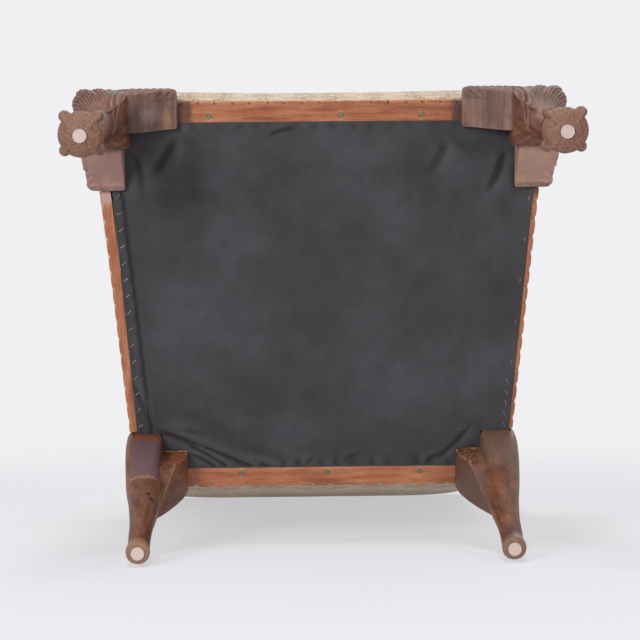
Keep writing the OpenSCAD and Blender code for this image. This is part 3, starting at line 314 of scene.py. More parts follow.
# On the left rear leg a dull patch with a redder edge and two dark chips, and on the right one a greyer cast
REAR_LEG_MARKS = [((-FAR, -FAR, 0), (FAR, FAR, 19), 4, "#a27c66", 0.6),
    ((-288.5, -FAR, 176), (-247, 550, 268), 3, "#675058", 0.8),
    ((-287, -FAR, 266), (-250, 550, 290), 5, "#96562f", 0.6),
    ((-289, -FAR, 168), (-250, 560, 174), 2.2, "#a98170", 0.45),
    ((-262, -FAR, 128), (-256.5, 575, 134), 2.0, "#160d0a", 0.95),
    ((-257.5, -FAR, 118), (-251.5, 575, 124), 2.0, "#160d0a", 0.9),
    ((200, -FAR, 190), (FAR, FAR, FAR), 30, "#6f5b51", 0.5),
    ((200, -FAR, 0), (FAR, FAR, 60), 20, "#5c4339", 0.4)]
REAR_BRACKET_MARKS = [((-250, 530, 200), (-200, 543.2, 300), 1.5, "#84492a", 0.8),
    ((-246, 530, 200), (-232, 543.2, 300), 9, "#2e1810", 0.7),
    ((100, 552, 0), (FAR, FAR, FAR), 8, "#57463f", 0.6)]
# Shade by the legs, at the ends of the front and rear strips
END_MARKS = [((-FAR, -FAR, 0), (-191.5, 33, FAR), 9, "#432b24", 0.85),
    ((198.5, -FAR, 0), (FAR, 33, FAR), 9, "#432b24", 0.85),
    ((222, 500, 0), (FAR, FAR, FAR), 9, "#463029", 0.6)]
SIDE_MARKS = [((-FAR, -FAR, 0), (-300, 153, FAR), 12, "#b7a296", 0.6),
    ((300, -FAR, 0), (FAR, 146, FAR), 8, "#4a3a35", 0.8)]
STRIP_LOOK = {"gloss": (0.45, 0.6), "streak_mm": 7, "grime": 0.6, "grime_hex": "#472a1e", "worn_hex": "#c99472"}
ASH_LOOK = {"gloss": (0.6, 0.75), "streak_mm": 8}

M = {
    "carved": wood("carved_mahogany", CARVED_TONES, 2, (0.5, 0.66), 9, 0.85, marks=BALL_MARKS),
    "leg": wood("waxed_mahogany", PLAIN_TONES, 2, (0.46, 0.6), 10, 0.5, marks=REAR_LEG_MARKS),
    "bracket": wood("bracket_mahogany", RAW_TONES, 1, (0.6, 0.75), 14, 0.7, marks=BRACKET_MARKS),
    "rear_bracket": wood("rear_bracket_mahogany", PLAIN_TONES, 2, (0.5, 0.65), 12, 0.6, worn_hex="#c09a80",
        marks=REAR_BRACKET_MARKS),
    "strip_x": wood("strip_mahogany", STRIP_TONES, 0, marks=END_MARKS, **STRIP_LOOK),
    "strip_y": wood("side_strip_mahogany", STRIP_TONES, 1, marks=SIDE_MARKS, **STRIP_LOOK),
    "frame_x": wood("ash_across", ASH_TONES, 0, **ASH_LOOK),
    "frame_y": wood("ash_lengthways", ASH_TONES, 1, **ASH_LOOK),
    "frame_z": wood("ash_upright", ASH_TONES, 2, **ASH_LOOK),
    "cover": woven_cover("cream_tan_weave"),
    "cambric": plain_cloth("black_cambric", [(0.32, "#29282b"), (0.5, "#3a393c"), (0.66, "#49474b")], 1.6, 0.22,
        painted_fold_shading="painted_fold_shading"),
    "jute": plain_cloth("jute_webbing", [(0.3, "#8f7448"), (0.5, "#b3966a"), (0.7, "#cbb187")], 2.5, 0.1, 0.95, 0.6,
        0.7),
    "foam": plain_cloth("cotton_ticking", [(0.3, "#d9cfb8"), (0.5, "#e6ddc8"), (0.7, "#efe8d8")], 2.0, 0.15),
    "glide": plain_cloth("nylon_felt_glide", [(0.3, "#b09b92"), (0.5, "#c9b3aa"), (0.7, "#dccbc2")], 1.2, 0.0, 0.7,
        0.15, 0.8),
    "zip": plain_cloth("zip_tape", [(0.3, "#8f7d5e"), (0.5, "#a8977a"), (0.7, "#b9a98c")], 1.5, 0.1),
    "screw": dull_metal("aged_brass_screw", [(0.35, "#4f4239"), (0.5, "#7d6857"), (0.68, "#9c8670")], 0.5),
    "steel": dull_metal("zinc_staple_wire", [(0.35, "#77797c"), (0.5, "#9c9da0"), (0.68, "#b9babc")], 0.35),
}


# Meshes


def link(name, mesh, material=None, smooth=True):
    made = bpy.data.objects.new(name, mesh)
    bpy.context.scene.collection.objects.link(made)
    if material:
        mesh.materials.clear()
        mesh.materials.append(material)
    if smooth:
        mesh.polygons.foreach_set("use_smooth", [True] * len(mesh.polygons))
    return made


def mesh_of(name, points, faces):
    mesh = bpy.data.meshes.new(name)
    mesh.from_pydata([tuple(p) for p in points], [], [tuple(f) for f in faces])
    mesh.update()
    return mesh


def points_of(mesh, kind="co"):
    flat = np.zeros(len(mesh.vertices) * 3)
    mesh.vertices.foreach_get(kind, flat)
    return flat.reshape(-1, 3)


def normals_of(mesh):
    return points_of(mesh, "normal")


def set_points(mesh, points):
    mesh.vertices.foreach_set("co", np.asarray(points, float).ravel())
    mesh.update()


def raise_points(mesh, lift_mm):
    """Moves each point of a mesh out along its normal by its own lift, or all by one."""
    set_points(mesh, points_of(mesh) + normals_of(mesh) * np.reshape(lift_mm, (-1, 1)) * MM)


def reworked(meshes, change=None):
    """One new mesh from copies of meshes, after a change to it as a bmesh."""
    made = bmesh.new()
    for mesh in meshes:
        made.from_mesh(mesh)
    if change:
        change(made)
    result = bpy.data.meshes.new(meshes[0].name)
    made.to_mesh(result)
    made.free()
    return result


def everything(made):
    return list(made.verts) + list(made.edges) + list(made.faces)


def welded(*names):
    """One mesh from copies of CAD nodes, with their loose triangles merged."""
    meshes = [nodes[name].data for name in names]
    return reworked(meshes, lambda made: bmesh.ops.remove_doubles(made, verts=made.verts, dist=0.01 * MM))


def joined(*meshes):
    return reworked(meshes)


def plain_mesh(worker):
    """A worker object's mesh after its modifiers, as a plain mesh. The worker is removed."""
    graph = bpy.context.evaluated_depsgraph_get()
    made = bpy.data.meshes.new_from_object(worker.evaluated_get(graph))
    bpy.data.objects.remove(worker)
    return made


def finished(mesh, *modifiers):
    """The mesh after those (type, settings) modifiers."""
    worker = link("worker", mesh, smooth=False)
    for kind, settings in modifiers:
        modifier = worker.modifiers.new(kind.lower(), kind)
        for name, value in settings.items():
            setattr(modifier, name, value)
    return plain_mesh(worker)


def remeshed(mesh, voxel_mm, smoothing, factor=0.5):
    """One closed skin round the mesh, its edges softened."""
    smoothed = ("SMOOTH", {"factor": factor, "iterations": smoothing})
    return finished(mesh, ("REMESH", {"mode": "VOXEL", "voxel_size": voxel_mm * MM}), smoothed)


def part_above(mesh, height):
    """The closed part of a mesh above a height."""

    def cut_off(made):
        cut = bmesh.ops.bisect_plane(made, geom=everything(made), plane_co=(0, 0, height), plane_no=(0, 0, -1),
            clear_outer=True)
        edges = [g for g in cut["geom_cut"] if isinstance(g, bmesh.types.BMEdge)]
        bmesh.ops.contextual_create(made, geom=edges)

    return reworked([mesh], cut_off)


def mirrored(mesh):
    def flip(made):
        for vertex in made.verts:
            vertex.co.x = -vertex.co.x
        bmesh.ops.reverse_faces(made, faces=made.faces)

    return reworked([mesh], flip)


def smooth_step(t):
    t = np.clip(t, 0, 1)
    return t * t * (3 - 2 * t)


def wander(points, scale, seed):
    """Smooth noise from -1 to 1 at each point."""
    offset = Vector((seed * 7.31, seed * 3.17, seed * 5.53))
    return np.array([noise.noise(Vector(p) * scale + offset) for p in points])


def piece(name, mesh, material, slot, *replaced, body="chair"):
    """A finished piece that rides on its body and stands for the CAD nodes named."""
    made = link(name, mesh, material)
    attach(made, body)
    if replaced:
        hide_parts(*replaced)
    return made


def catmull(rows, steps):
    """A given list of rows, smoothly filled in with steps between each two."""
    rows = np.asarray(rows, float)
    padded = np.vstack([rows[0], rows, rows[-1]])
    filled = []
    for i in range(1, len(rows)):
        p = padded[i - 1 : i + 3]
        for k in range(steps):
            t = k / steps
            filled.append(p[1] + (p[2] - p[0]) * t / 2 + (2 * p[0] - 5 * p[1] + 4 * p[2] - p[3]) * t * t / 2
                + (3 * p[1] - p[0] - 3 * p[2] + p[3]) * t**3 / 2)
    return np.array(filled + [rows[-1]])


def outward(mesh):
    """The mesh with its faces turned to face out."""
    return reworked([mesh], lambda made: bmesh.ops.recalc_face_normals(made, faces=made.faces))


def loft(name, rings):
    """A closed skin through rings of points."""
    count = len(rings[0])
    points = [p for ring in rings for p in ring]
    faces = [list(range(count))[::-1], [len(points) - count + i for i in range(count)]]
    for start in range(0, len(points) - count, count):
        for i in range(count):
            k = (i + 1) % count
            faces.append([start + i, start + k, start + count + k, start + count + i])
    return outward(mesh_of(name, points, faces))


def tube(name, path, radii, sides):
    """A round tube along a path of points."""
    path = np.asarray(path, float)
    radii = np.broadcast_to(radii, (len(path),))
    ahead = np.gradient(path, axis=0)
    ahead /= np.linalg.norm(ahead, axis=1)[:, None]
    side = np.cross(ahead[0], [0.31, 0.17, 0.93])
    turns = np.arange(sides) * 2 * np.pi / sides
    rings = []
    for point, radius, forward in zip(path, radii, ahead):
        side = side - forward * (side @ forward)
        side /= np.linalg.norm(side)
        up = np.cross(forward, side)
        rings.append(point + radius * (np.outer(np.cos(turns), side) + np.outer(np.sin(turns), up)))
    return loft(name, rings)


def square_ring(centre, half, squareness, z, count):
    """A ring between a circle, at 2, and a square."""
    turns = np.arange(count) * 2 * np.pi / count
    c, s = np.cos(turns), np.sin(turns)
    grow = (np.abs(c) ** squareness + np.abs(s) ** squareness) ** (-1 / squareness)
    return np.stack([centre[0] + half[0] * c * grow, centre[1] + half[1] * s * grow, np.full(count, z)], 1)


# Legs

LEG_SIDES = 120
BALL_R = 32.2
BALL_Z = 29.5
ANKLE_R = 19.5
KNEE_W = 82.0
KNEE_OUT_X = 365.0
KNEE_FRONT_Y = depth_at(-20)
BALL_AT = np.array([-334.3, KNEE_FRONT_Y + 32.5])
# Height, the distances of the outer and inner faces from the knee's outer corner, and squareness
KNEE_SECTIONS = [
    (58, BALL_R - ANKLE_R - 1.5, BALL_R + ANKLE_R + 5, 2),
    (80, 37.5 - ANKLE_R, 37.5 + ANKLE_R, 2),
    (108, 39.5 - ANKLE_R, 39.5 + ANKLE_R, 2),
    (140, 39.5 - ANKLE_R * 1.06, 40.5 + ANKLE_R * 1.1, 2.2),
    (172, 16, KNEE_W - 17, 2.5),
    (202, 10.5, KNEE_W - 10, 3),
    (230, 4.5, KNEE_W - 3.5, 3.8),
    (252, 1, KNEE_W - 0.5, 4.6),
    (276, 0, KNEE_W, 5.6),
    (300, 1, KNEE_W, 7),
]


def knee_ring(section):
    z, outer, inner, squareness = section
    half, mid = (inner - outer) / 2, (inner + outer) / 2
    return square_ring((-(KNEE_OUT_X - mid), KNEE_FRONT_Y + mid), (half, half), squareness, z, LEG_SIDES) * MM


def ball():
    """A sphere that ends in a small flat, where the glide sits."""
    rows = [(3.5, 8), (3.6, 10.2), (4.4, 13.4), (6.2, 17.6), (9, 21.4)]
    rows += [(z, math.sqrt(BALL_R**2 - (z - BALL_Z) ** 2)) for z in np.linspace(12, BALL_Z + BALL_R - 0.4, 26)]
    return loft("ball", [square_ring(BALL_AT, (r, r), 2, z, 64) * MM for z, r in rows])


# Height, with the distances of the outer and inner faces from the knee's outer corner
CHEEK_SECTIONS = [(138, 24, 49), (158, 20.5, 53.5), (172, 17.5, 59), (186, 15, 65.6), (200, 12, 71.6), (214, 8.5, 76.6),
    (228, 4.5, 80), (242, 2, 81.6), (256, 1.2, 81.9), (300, 1.2, 81.9)]


def cheeks():
    """The plain inner flanks of the knee, square up to the brackets."""
    rings = []
    for z, outer, inner in catmull(CHEEK_SECTIONS, 3):
        corner = outer + 22
        ring = [(inner, inner), (corner, inner), (outer, inner - 1), (outer, corner), (corner, outer),
            (inner - 1, outer), (inner, corner)]
        rings.append([((-KNEE_OUT_X + p) * MM, (KNEE_FRONT_Y + q) * MM, z * MM) for p, q in ring])
    return loft("cheeks", rings)


ANKLE_AT = np.array([-(KNEE_OUT_X - 39.5), KNEE_FRONT_Y + 39.5])
# Height, distance from the middle, and thickness of a toe: knuckles swell between thinner joints
TOE = [(112, 11, 5), (98, 13.5, 6.2), (86, 16.4, 6.6), (75, 19, 6), (64, 22.6, 6.6), (54, 28.2, 7.6), (45, 33, 8.4),
       (37, 34.2, 7.2), (29, 32.8, 5.2), (20, 29.8, 4.8), (12, 23.6, 3.6), (7, 18, 1.8)]


def claw(turn):
    """A toe that comes out of the ankle, grips the ball, and ends in a pointed talon."""
    filled = catmull(TOE, 5)
    path = []
    for z, r, _ in filled:
        centre = BALL_AT + (ANKLE_AT - BALL_AT) * smooth_step((z - 44) / 50)
        path.append((centre[0] + r * math.cos(turn), centre[1] + r * math.sin(turn), z))
    return tube("claw", np.array(path) * MM, filled[:, 2] * MM, 16)


# Paths of the two scrolls that frame the leaf on the knee: from the joint, round the front face, and back
SCROLLS = [
    [(-281, -20, 292), (-292, -20.5, 289), (-300, -20, 276), (-304, -18, 245), (-305, -15, 222), (-304, -6, 196),
     (-302, 8, 178), (-301, 22, 168), (-301, 31, 164)],
    [(-281, -20, 280), (-287, -20.5, 277), (-292.5, -19, 262), (-296, -15, 238), (-296.5, -10, 216), (-296, 0, 198),
     (-295.5, 12, 188), (-296, 22, 180), (-299, 31, 170)],
]


def ridges(mesh, paths, width_mm, height_mm):
    """How far each point of a mesh is raised by rounded ridges along paths, which are first laid on its surface."""
    points = points_of(mesh) / MM
    made = bmesh.new()
    made.from_mesh(mesh)
    tree = BVHTree.FromBMesh(made)
    made.free()
    lift = np.zeros(len(points))
    for path in paths:
        rows = catmull([(x, depth_at(a), z) for x, a, z in path], 6)
        rows = np.array([tree.find_nearest(Vector(p) * MM)[0] for p in rows]) / MM
        near = np.full(len(points), 1e9)
        for p, q in zip(rows[:-1], rows[1:]):
            step = q - p
            share = np.clip(((points - p) @ step) / max(step @ step, 1e-9), 0, 1)
            near = np.minimum(near, np.linalg.norm(points - p - share[:, None] * step, axis=1))
        lift = np.maximum(lift, height_mm * np.exp(-((near / width_mm) ** 2)))
        lift = lift - 0.9 * np.exp(-(((near - 2.2 * width_mm) / width_mm) ** 2))
    return lift


def knee_carving(mesh):
    """Depth, in mm, of the carving on the knee: the ribs of a leaf sweep up from the ankle and over, and two scrolls
    frame it."""
    x, y, z = (points_of(mesh) / MM).T
    turn = np.degrees(np.arctan2(-(y - KNEE_FRONT_Y - 41), -(x + KNEE_OUT_X - 41))) - 45
    turn = (turn + 180) % 360 - 180
    height = np.clip((z - 128) / 150, 0, 1.1)
    swept = turn + 34 * height**2
    phase = swept / 7.2
    rib = np.abs(np.sin(math.pi * phase)) ** 0.7
    leaf = smooth_step((66 - turn) / 8) * smooth_step((turn + 74) / 8)
    fade = smooth_step((z - 132) / 40) * smooth_step((306 - z) / 8)
    big = np.abs(np.sin(math.pi * swept / 31)) ** 0.6 * smooth_step((z - 225) / 40)
    return leaf * fade * ((0.7 + 1.1 * height) * (rib - 0.6) + 3.8 * (big - 0.45)) + ridges(mesh, SCROLLS, 2.5, 2.2)


def foot_texture(points):
    """Small cuts, in mm, of the carver's punch over the ball."""
    near = smooth_step((64 - points[:, 2] / MM) / 10)
    pits = smooth_step((wander(points, 330, 3) - 0.16) / 0.2)
    return near * (0.5 * wander(points, 110, 4) - 1.3 * pits)


def front_leg_mesh():
    body = loft("leg", [knee_ring(section) for section in catmull(KNEE_SECTIONS, 6)])
    claws = [claw(math.radians(turn)) for turn in (45, 135, 225, 315)]
    mesh = remeshed(joined(body, cheeks(), ball(), *claws), 1.25, 3, 0.5)
    raise_points(mesh, knee_carving(mesh) + foot_texture(points_of(mesh)))
    return mesh


def make_front_legs():
    carved = front_leg_mesh()
    eased = {"width": 2.2 * MM, "segments": 3, "limit_method": "ANGLE", "angle_limit": math.radians(40)}
    for side, lower in (("left", carved), ("right", mirrored(carved))):
        top = finished(part_above(welded(f"front_{side}_leg"), STRIP_LOW - 3 * MM), ("BEVEL", eased))
        piece(f"front_{side}_leg_carved", joined(lower, top), M["carved"], "mahogany", f"front_{side}_leg")


make_front_legs()

REAR_FOOT_R = 18.0
REAR_FOOT_DEPTH = 609.0
REAR_KNEE_W = 56.0
REAR_KNEE_D = 88.0
REAR_KNEE_MID = np.array([-(301 - REAR_KNEE_W / 2), depth_at(601) - REAR_KNEE_D / 2])
REAR_FOOT_MID = np.array([-(287 - REAR_FOOT_R), depth_at(REAR_FOOT_DEPTH)])
# Height, how far the foot's place counts, half width, half depth, squareness, and a shift towards the bracket
REAR_SECTIONS = [
    (3.5, 1, 14.6, 14.6, 2.2, 0),
    (4.0, 1, 15.4, 15.4, 2.2, 0),
    (6.5, 1, 17.0, 16.8, 2.1, 0),
    (14, 0.99, 17.0, 16.6, 2, 0),
    (20, 0.97, 16.2, 16.2, 2, 0.3),
    (30, 0.95, 15.9, 15.9, 2, 0.6),
    (50, 0.84, 16.2, 16.4, 2, 1.2),
    (80, 0.71, 17.4, 18, 2.1, 2.4),
    (116, 0.54, 20.6, 21.5, 2.3, 4.2),
    (158, 0.36, 23.8, 27, 2.7, 3.8),
    (198, 0.2, 26, 32.5, 3.4, 1.6),
    (234, 0.08, REAR_KNEE_W / 2 - 0.9, REAR_KNEE_D / 2 - 5, 4.4, 0),
    (264, 0.01, REAR_KNEE_W / 2, REAR_KNEE_D / 2 - 1, 5.5, 0),
    (300, 0, REAR_KNEE_W / 2, REAR_KNEE_D / 2, 8, 0),
]


def rear_leg_mesh():
    rings = []
    for z, share, half_x, half_y, squareness, shift in catmull(REAR_SECTIONS, 6):
        centre = REAR_KNEE_MID + (REAR_FOOT_MID - REAR_KNEE_MID) * share + np.array([shift, 0])
        rings.append(square_ring(centre, (half_x, half_y), squareness, z, 72) * MM)
    mesh = loft("rear_leg", rings)
    raise_points(mesh, 0.5 * wander(points_of(mesh), 22, 9))
    return mesh


def make_rear_legs():
    waxed = rear_leg_mesh()
    for side, lower in (("left", waxed), ("right", mirrored(waxed))):
        top = part_above(welded(f"rear_{side}_leg"), STRIP_LOW - 0.5 * MM)
        piece(f"rear_{side}_leg_waxed", joined(lower, top), M["leg"], "mahogany", f"rear_{side}_leg")


make_rear_legs()


# Knee brackets: plain undersides, with a leaf carved along the outer edge towards the tip

BRACKET_LENGTH = 70
BRACKET_LEG_DROP = 62
BRACKET_TIP_DROP = 14
BRACKET_TIP_LENGTH = 13
BRACKET_TOP = STRIP_LOW / MM - 0.2
FRONT_BRACKET_X = 282.9
FRONT_BRACKET_BACK = 39.5
SIDE_BRACKET_START = 62
SIDE_BRACKET_INNER_X = 293.5
LEAF_LENGTH = 68
# A rounded edge as shares of its radius, from one face to the next
QUARTER = [(1 - math.cos(math.pi / 2 * k / 5), 1 - math.sin(math.pi / 2 * k / 5)) for k in range(1, 6)]


def end_round(s, radius):
    """How far a corner of that radius has turned in at s, near the bracket's tip."""
    return radius * (1 - math.sqrt(max(0, 1 - max(0, (s - BRACKET_LENGTH + radius) / radius) ** 2)))


def bracket_rings(deep):
    """Sections along the bracket: its underside falls in an S towards the leg, its tip is a stepped scroll, and its
    lower edges are eased."""
    rings = []
    tip_start = BRACKET_LENGTH - BRACKET_TIP_LENGTH
    for s in [*np.linspace(-2, tip_start - 1, 26), *np.linspace(tip_start, BRACKET_LENGTH, 16)]:
        drop = BRACKET_LEG_DROP + (BRACKET_TIP_DROP - BRACKET_LEG_DROP) * smooth_step(s / BRACKET_LENGTH)
        tip = np.clip((s - tip_start) / BRACKET_TIP_LENGTH, 0, 1)
        low = drop + 1.6 * math.sin(math.pi * min(1.0, tip * 1.6)) - end_round(s, 3.5)
        inner, outer, r = end_round(s, 4), deep - end_round(s, 10), 2.6
        ring = [(inner, 0), (inner, -low + r)]
        ring += [(inner + r * c, -low + r * n) for c, n in QUARTER]
        ring += [(inner + r + (outer - inner - 2.4 * r) * k / 9, -low) for k in range(1, 10)]
        ring += [(outer - 1.4 * r * n, -low + 1.4 * r * c) for c, n in QUARTER]
        rings.append([(s, w, h) for w, h in [*ring, (outer, 0)]])
    return rings


def leaf_relief(points, normals, along, start, out, edge):
    """Leaf, in mm, on the outer face and outer edge of a bracket: veins run out to a lobed edge near the tip."""
    s = np.abs(points[:, along] / MM - start)
    z = UNDERSIDE - points[:, 2] / MM
    reach = edge - points @ np.asarray(out, float) / MM
    face = smooth_step((normals @ np.asarray(out, float) - 0.25) / 0.4)
    veins = np.abs(np.sin(math.pi * (s * 0.9 + z * 0.55) / 9.5)) ** 0.8
    on_face = face * (1.7 * veins - 0.9 + (3.2 * smooth_step((36 - s) / 5) if along else 0.8))
    towards_tip = smooth_step((s - 0.42 * LEAF_LENGTH) / (0.3 * LEAF_LENGTH))
    towards_tip *= smooth_step((LEAF_LENGTH + 2 - s) / 6)
    near_edge = smooth_step((13 - reach) / 5) * (1 - face)
    curl = np.abs(np.sin(math.pi * (s + 0.8 * reach) / 12.5)) ** 0.7
    lip = (1 - face) * towards_tip * -0.8 * np.exp(-(((reach - 15) / 2.0) ** 2))
    return on_face + near_edge * towards_tip * (2.0 * curl - 1.1) + lip


def carved_bracket(deep, place, along, start, out, edge):
    """A front bracket, whose place turns (s, w, height) into a point in mm. Its leaf runs along that axis from the
    start, on the side that faces out, to an edge that lies that far out."""
    rings = [[[c * MM for c in place(s, w, BRACKET_TOP + h)] for s, w, h in ring] for ring in bracket_rings(deep)]
    mesh = remeshed(loft("bracket", rings), 1.2, 2, 0.4)
    points = points_of(mesh)
    lift = leaf_relief(points, normals_of(mesh), along, start, out, edge)
    raise_points(mesh, lift + 0.25 * wander(points, 60, 12 + along))
    return mesh


def make_front_brackets():
    side_start = depth_at(SIDE_BRACKET_START)
    for side, sign in (("left", -1), ("right", 1)):
        front = carved_bracket(59, lambda s, w, z: (sign * (FRONT_BRACKET_X - s), depth_at(FRONT_BRACKET_BACK) - w, z),
            0, sign * FRONT_BRACKET_X, (0, -1, 0), -KNEE_FRONT_Y)
        beside = carved_bracket(56.5, lambda s, w, z: (sign * (SIDE_BRACKET_INNER_X + w), side_start + s, z),
            1, side_start, (sign, 0, 0), 350)
        piece(f"front_{side}_brackets_carved", joined(front, beside), M["bracket"], "mahogany",
            f"front_{side}_knee_brackets")


def rear_bracket_mesh():
    """The rear bracket: its underside sweeps down towards the back, and meets the leg's side in a sharp edge."""
    front, deep, leg_x, tip_x, top_z, tip_z = 541, 61, -262, -207.3, 299.7, 286
    rings = []
    for t in np.linspace(0, 1, 27):
        ridge_x, ridge_z = -222.4 - 28.5 * t, 222 - 86 * t
        inner_z = ridge_z - 34 + 20 * t
        ring = [(leg_x, top_z), (tip_x, top_z)]
        ring += [(tip_x + (ridge_x - tip_x) * u, tip_z - (tip_z - ridge_z) * u**0.64) for u in np.linspace(0, 1, 17)]
        ring += [(ridge_x + (leg_x - ridge_x) * u, ridge_z + (inner_z - ridge_z) * u**1.9)
            for u in np.linspace(0, 1, 9)[1:]]
        rings.append([(x * MM, depth_at(front + deep * t) * MM, z * MM) for x, z in ring])
    mesh = remeshed(loft("rear_bracket", rings), 1.2, 2, 0.4)
    points = points_of(mesh)
    x, y, _ = (points / MM).T
    broken = smooth_step((depth_at(546) - y) / 6) * smooth_step((x + 250) / 10)
    splinters = 2.2 * wander(points, 240, 22) + 2.6 * wander(points, 90, 23) - 1.2
    raise_points(mesh, 0.3 * wander(points, 90, 21) + broken * splinters)
    return mesh


def make_rear_brackets():
    shaped = rear_bracket_mesh()
    for side, mesh in (("left", shaped), ("right", mirrored(shaped))):
        piece(f"rear_{side}_bracket_shaped", mesh, M["rear_bracket"], "mahogany", f"rear_{side}_knee_bracket")


make_front_brackets()
make_rear_brackets()


# Edge strips: gouged notches part the lobes, and the lower outer edge is rounded

NOTCH_PITCH = 26.0
NOTCH_HALF = 2.8
STRIP_THICK = 12.0
FRONT_STRIP_HALF = 282.7
REAR_STRIP_HALF = 244.7
SIDE_STRIP_WIDE = 16.0
SIDE_STRIP_FRONT = 62.3
SIDE_STRIP_REAR = 511.7
SCREW_HEAD_R = 4.8
SCREW_HEAD_TOP = 303.6
FRONT_SCREWS = [(-166, 22), (32, 22), (153, 22)]
REAR_SCREWS = [(-125, 578), (8, 578), (152, 578)]


def strip_mesh(name, length, width, gouge, place):
    """A strip laid along s, with its edge at w = 0 notched as deep as the gouge; place turns (s, w, height) into a
    point in mm."""
    count = math.floor(length / NOTCH_PITCH)
    centres = (length - (count - 1) * NOTCH_PITCH) / 2 + NOTCH_PITCH * np.arange(count)
    rng = np.random.default_rng(int(length))
    depths = rng.uniform(0.75, 1.15, count)
    shifts = rng.uniform(-0.9, 0.9, count)
    rings = []
    for s in np.linspace(0, length, int(length / 0.95) + 1):
        gap = np.abs(s - centres - shifts)
        nearest = int(np.argmin(gap))
        notch = math.sqrt(np.clip(1 - (gap[nearest] / NOTCH_HALF) ** 2, 0, 1)) * depths[nearest]
        lobe = np.clip((NOTCH_PITCH / 2 - gap[nearest]) / (NOTCH_PITCH / 2 - NOTCH_HALF), 0, 1)
        edge = gouge * notch + 0.9 * lobe**4
        r = 2.4 + 1.8 * notch
        ring = [(edge, STRIP_THICK), (edge, r)]
        ring += [(edge + r * c, r * n) for c, n in QUARTER]
        ring += [(edge + r + (width - 1 - edge - r) * j / 5, 0) for j in range(1, 5)]
        ring += [(width - 1, 0), (width - 0.3, 0.3), (width, 1), (width, STRIP_THICK)]
        rings.append([Vector(place(s, w, UNDERSIDE + h)) * MM for w, h in ring])
    return loft(name, rings)


def bored(mesh, places):
    """The mesh with round holes from below, for the screw heads."""
    drills = []
    for x, a in places:
        path = [(x * MM, depth_at(a) * MM, z * MM) for z in (UNDERSIDE - 10, UNDERSIDE, SCREW_HEAD_TOP)]
        drills.append(tube("drill", path, SCREW_HEAD_R * MM, 24))
    cutter = link("drills", joined(*drills), smooth=False)
    holed = finished(mesh, ("BOOLEAN", {"operation": "DIFFERENCE", "solver": "EXACT", "object": cutter}))
    bpy.data.objects.remove(cutter)
    return holed


def make_strips():
    front = strip_mesh("front_strip", 2 * FRONT_STRIP_HALF, STRIP_WIDE, 4.2,
        lambda s, w, z: (s - FRONT_STRIP_HALF, depth_at(w), z))
    rear = strip_mesh("rear_strip", 2 * REAR_STRIP_HALF, STRIP_WIDE, 2.6,
        lambda s, w, z: (REAR_STRIP_HALF - s, depth_at(FRAME_DEEP - w), z))
    taper = math.atan(SIDE_SLOPE)
    c, n = math.cos(taper), math.sin(taper)

    def at_side(s, w, z):
        """The side strip is a third wider at its front end."""
        along = SIDE_STRIP_FRONT / c + s
        w *= 1.33 - 0.33 * min(s / 225, 1)
        return (-FRAME_HALF + along * n + w * c, depth_at(along * c - w * n), z)

    left = strip_mesh("left_strip", (SIDE_STRIP_REAR - SIDE_STRIP_FRONT) / c - 1.6, SIDE_STRIP_WIDE, 3.0, at_side)
    strips = {"front": (bored(front, FRONT_SCREWS), "strip_x"), "rear": (bored(rear, REAR_SCREWS), "strip_x"),
        "left": (left, "strip_y"), "right": (mirrored(left), "strip_y")}
    for side, (mesh, material) in strips.items():
        made = piece(f"{side}_scalloped_strip", mesh, M[material], "strip_wood", f"{side}_edge_strip")
        made.data.set_sharp_from_angle(angle=math.radians(40))


make_strips()


# Dust cover: one sheet of cambric, stretched under the rails and cut round the legs

# Folds, each from one point to another in mm and depth, with its height and the widths of its two sides
FOLDS = [
    ((-268, 494), (-92, 567), 4.2, 5, 16), ((-213, 523), (-139, 566), 4.0, 4, 13),
    ((-208, 540), (-157, 566), 2.6, 3, 9), ((-136, 552), (-62, 567), 2.4, 4, 10),
    ((-250, 500), (-170, 506), 1.6, 6, 14), ((-84, 47), (-34, 34), 2.0, 4, 9),
    ((292, 70), (262, 150), 5.0, 8, 18), ((205, 60), (176, 120), 4.2, 10, 20), ((-200, 52), (-246, 128), 4.6, 10, 22),
    ((-268, 66), (-258, 150), 2.4, 7, 16), ((242, 500), (180, 566), 1.8, 5, 12), ((20, 560), (66, 536), 1.1, 5, 14),
    ((150, 566), (185, 540), 1.3, 4, 10), ((-30, 567), (-12, 545), 1.2, 4, 10), ((-288, 420), (-262, 500), 1.6, 4, 9),
]
# Where the cover is cut round the legs and brackets: from and to how far out, and from and to which depth
LEG_PRINTS = [(283.4, 400, 0, 61.8), (213.6, 400, 0, 38.6), (294.0, 400, 0, 131.2), (245.6, 400, 514, 620),
              (208.0, 400, 540, 620)]
SHEET_Z = 299.35
COVER_INSET = 15.5
COVER_HALF = 335.0
COVER_FRONT = 31.0
COVER_REAR = 569.0
CELL = 2.6


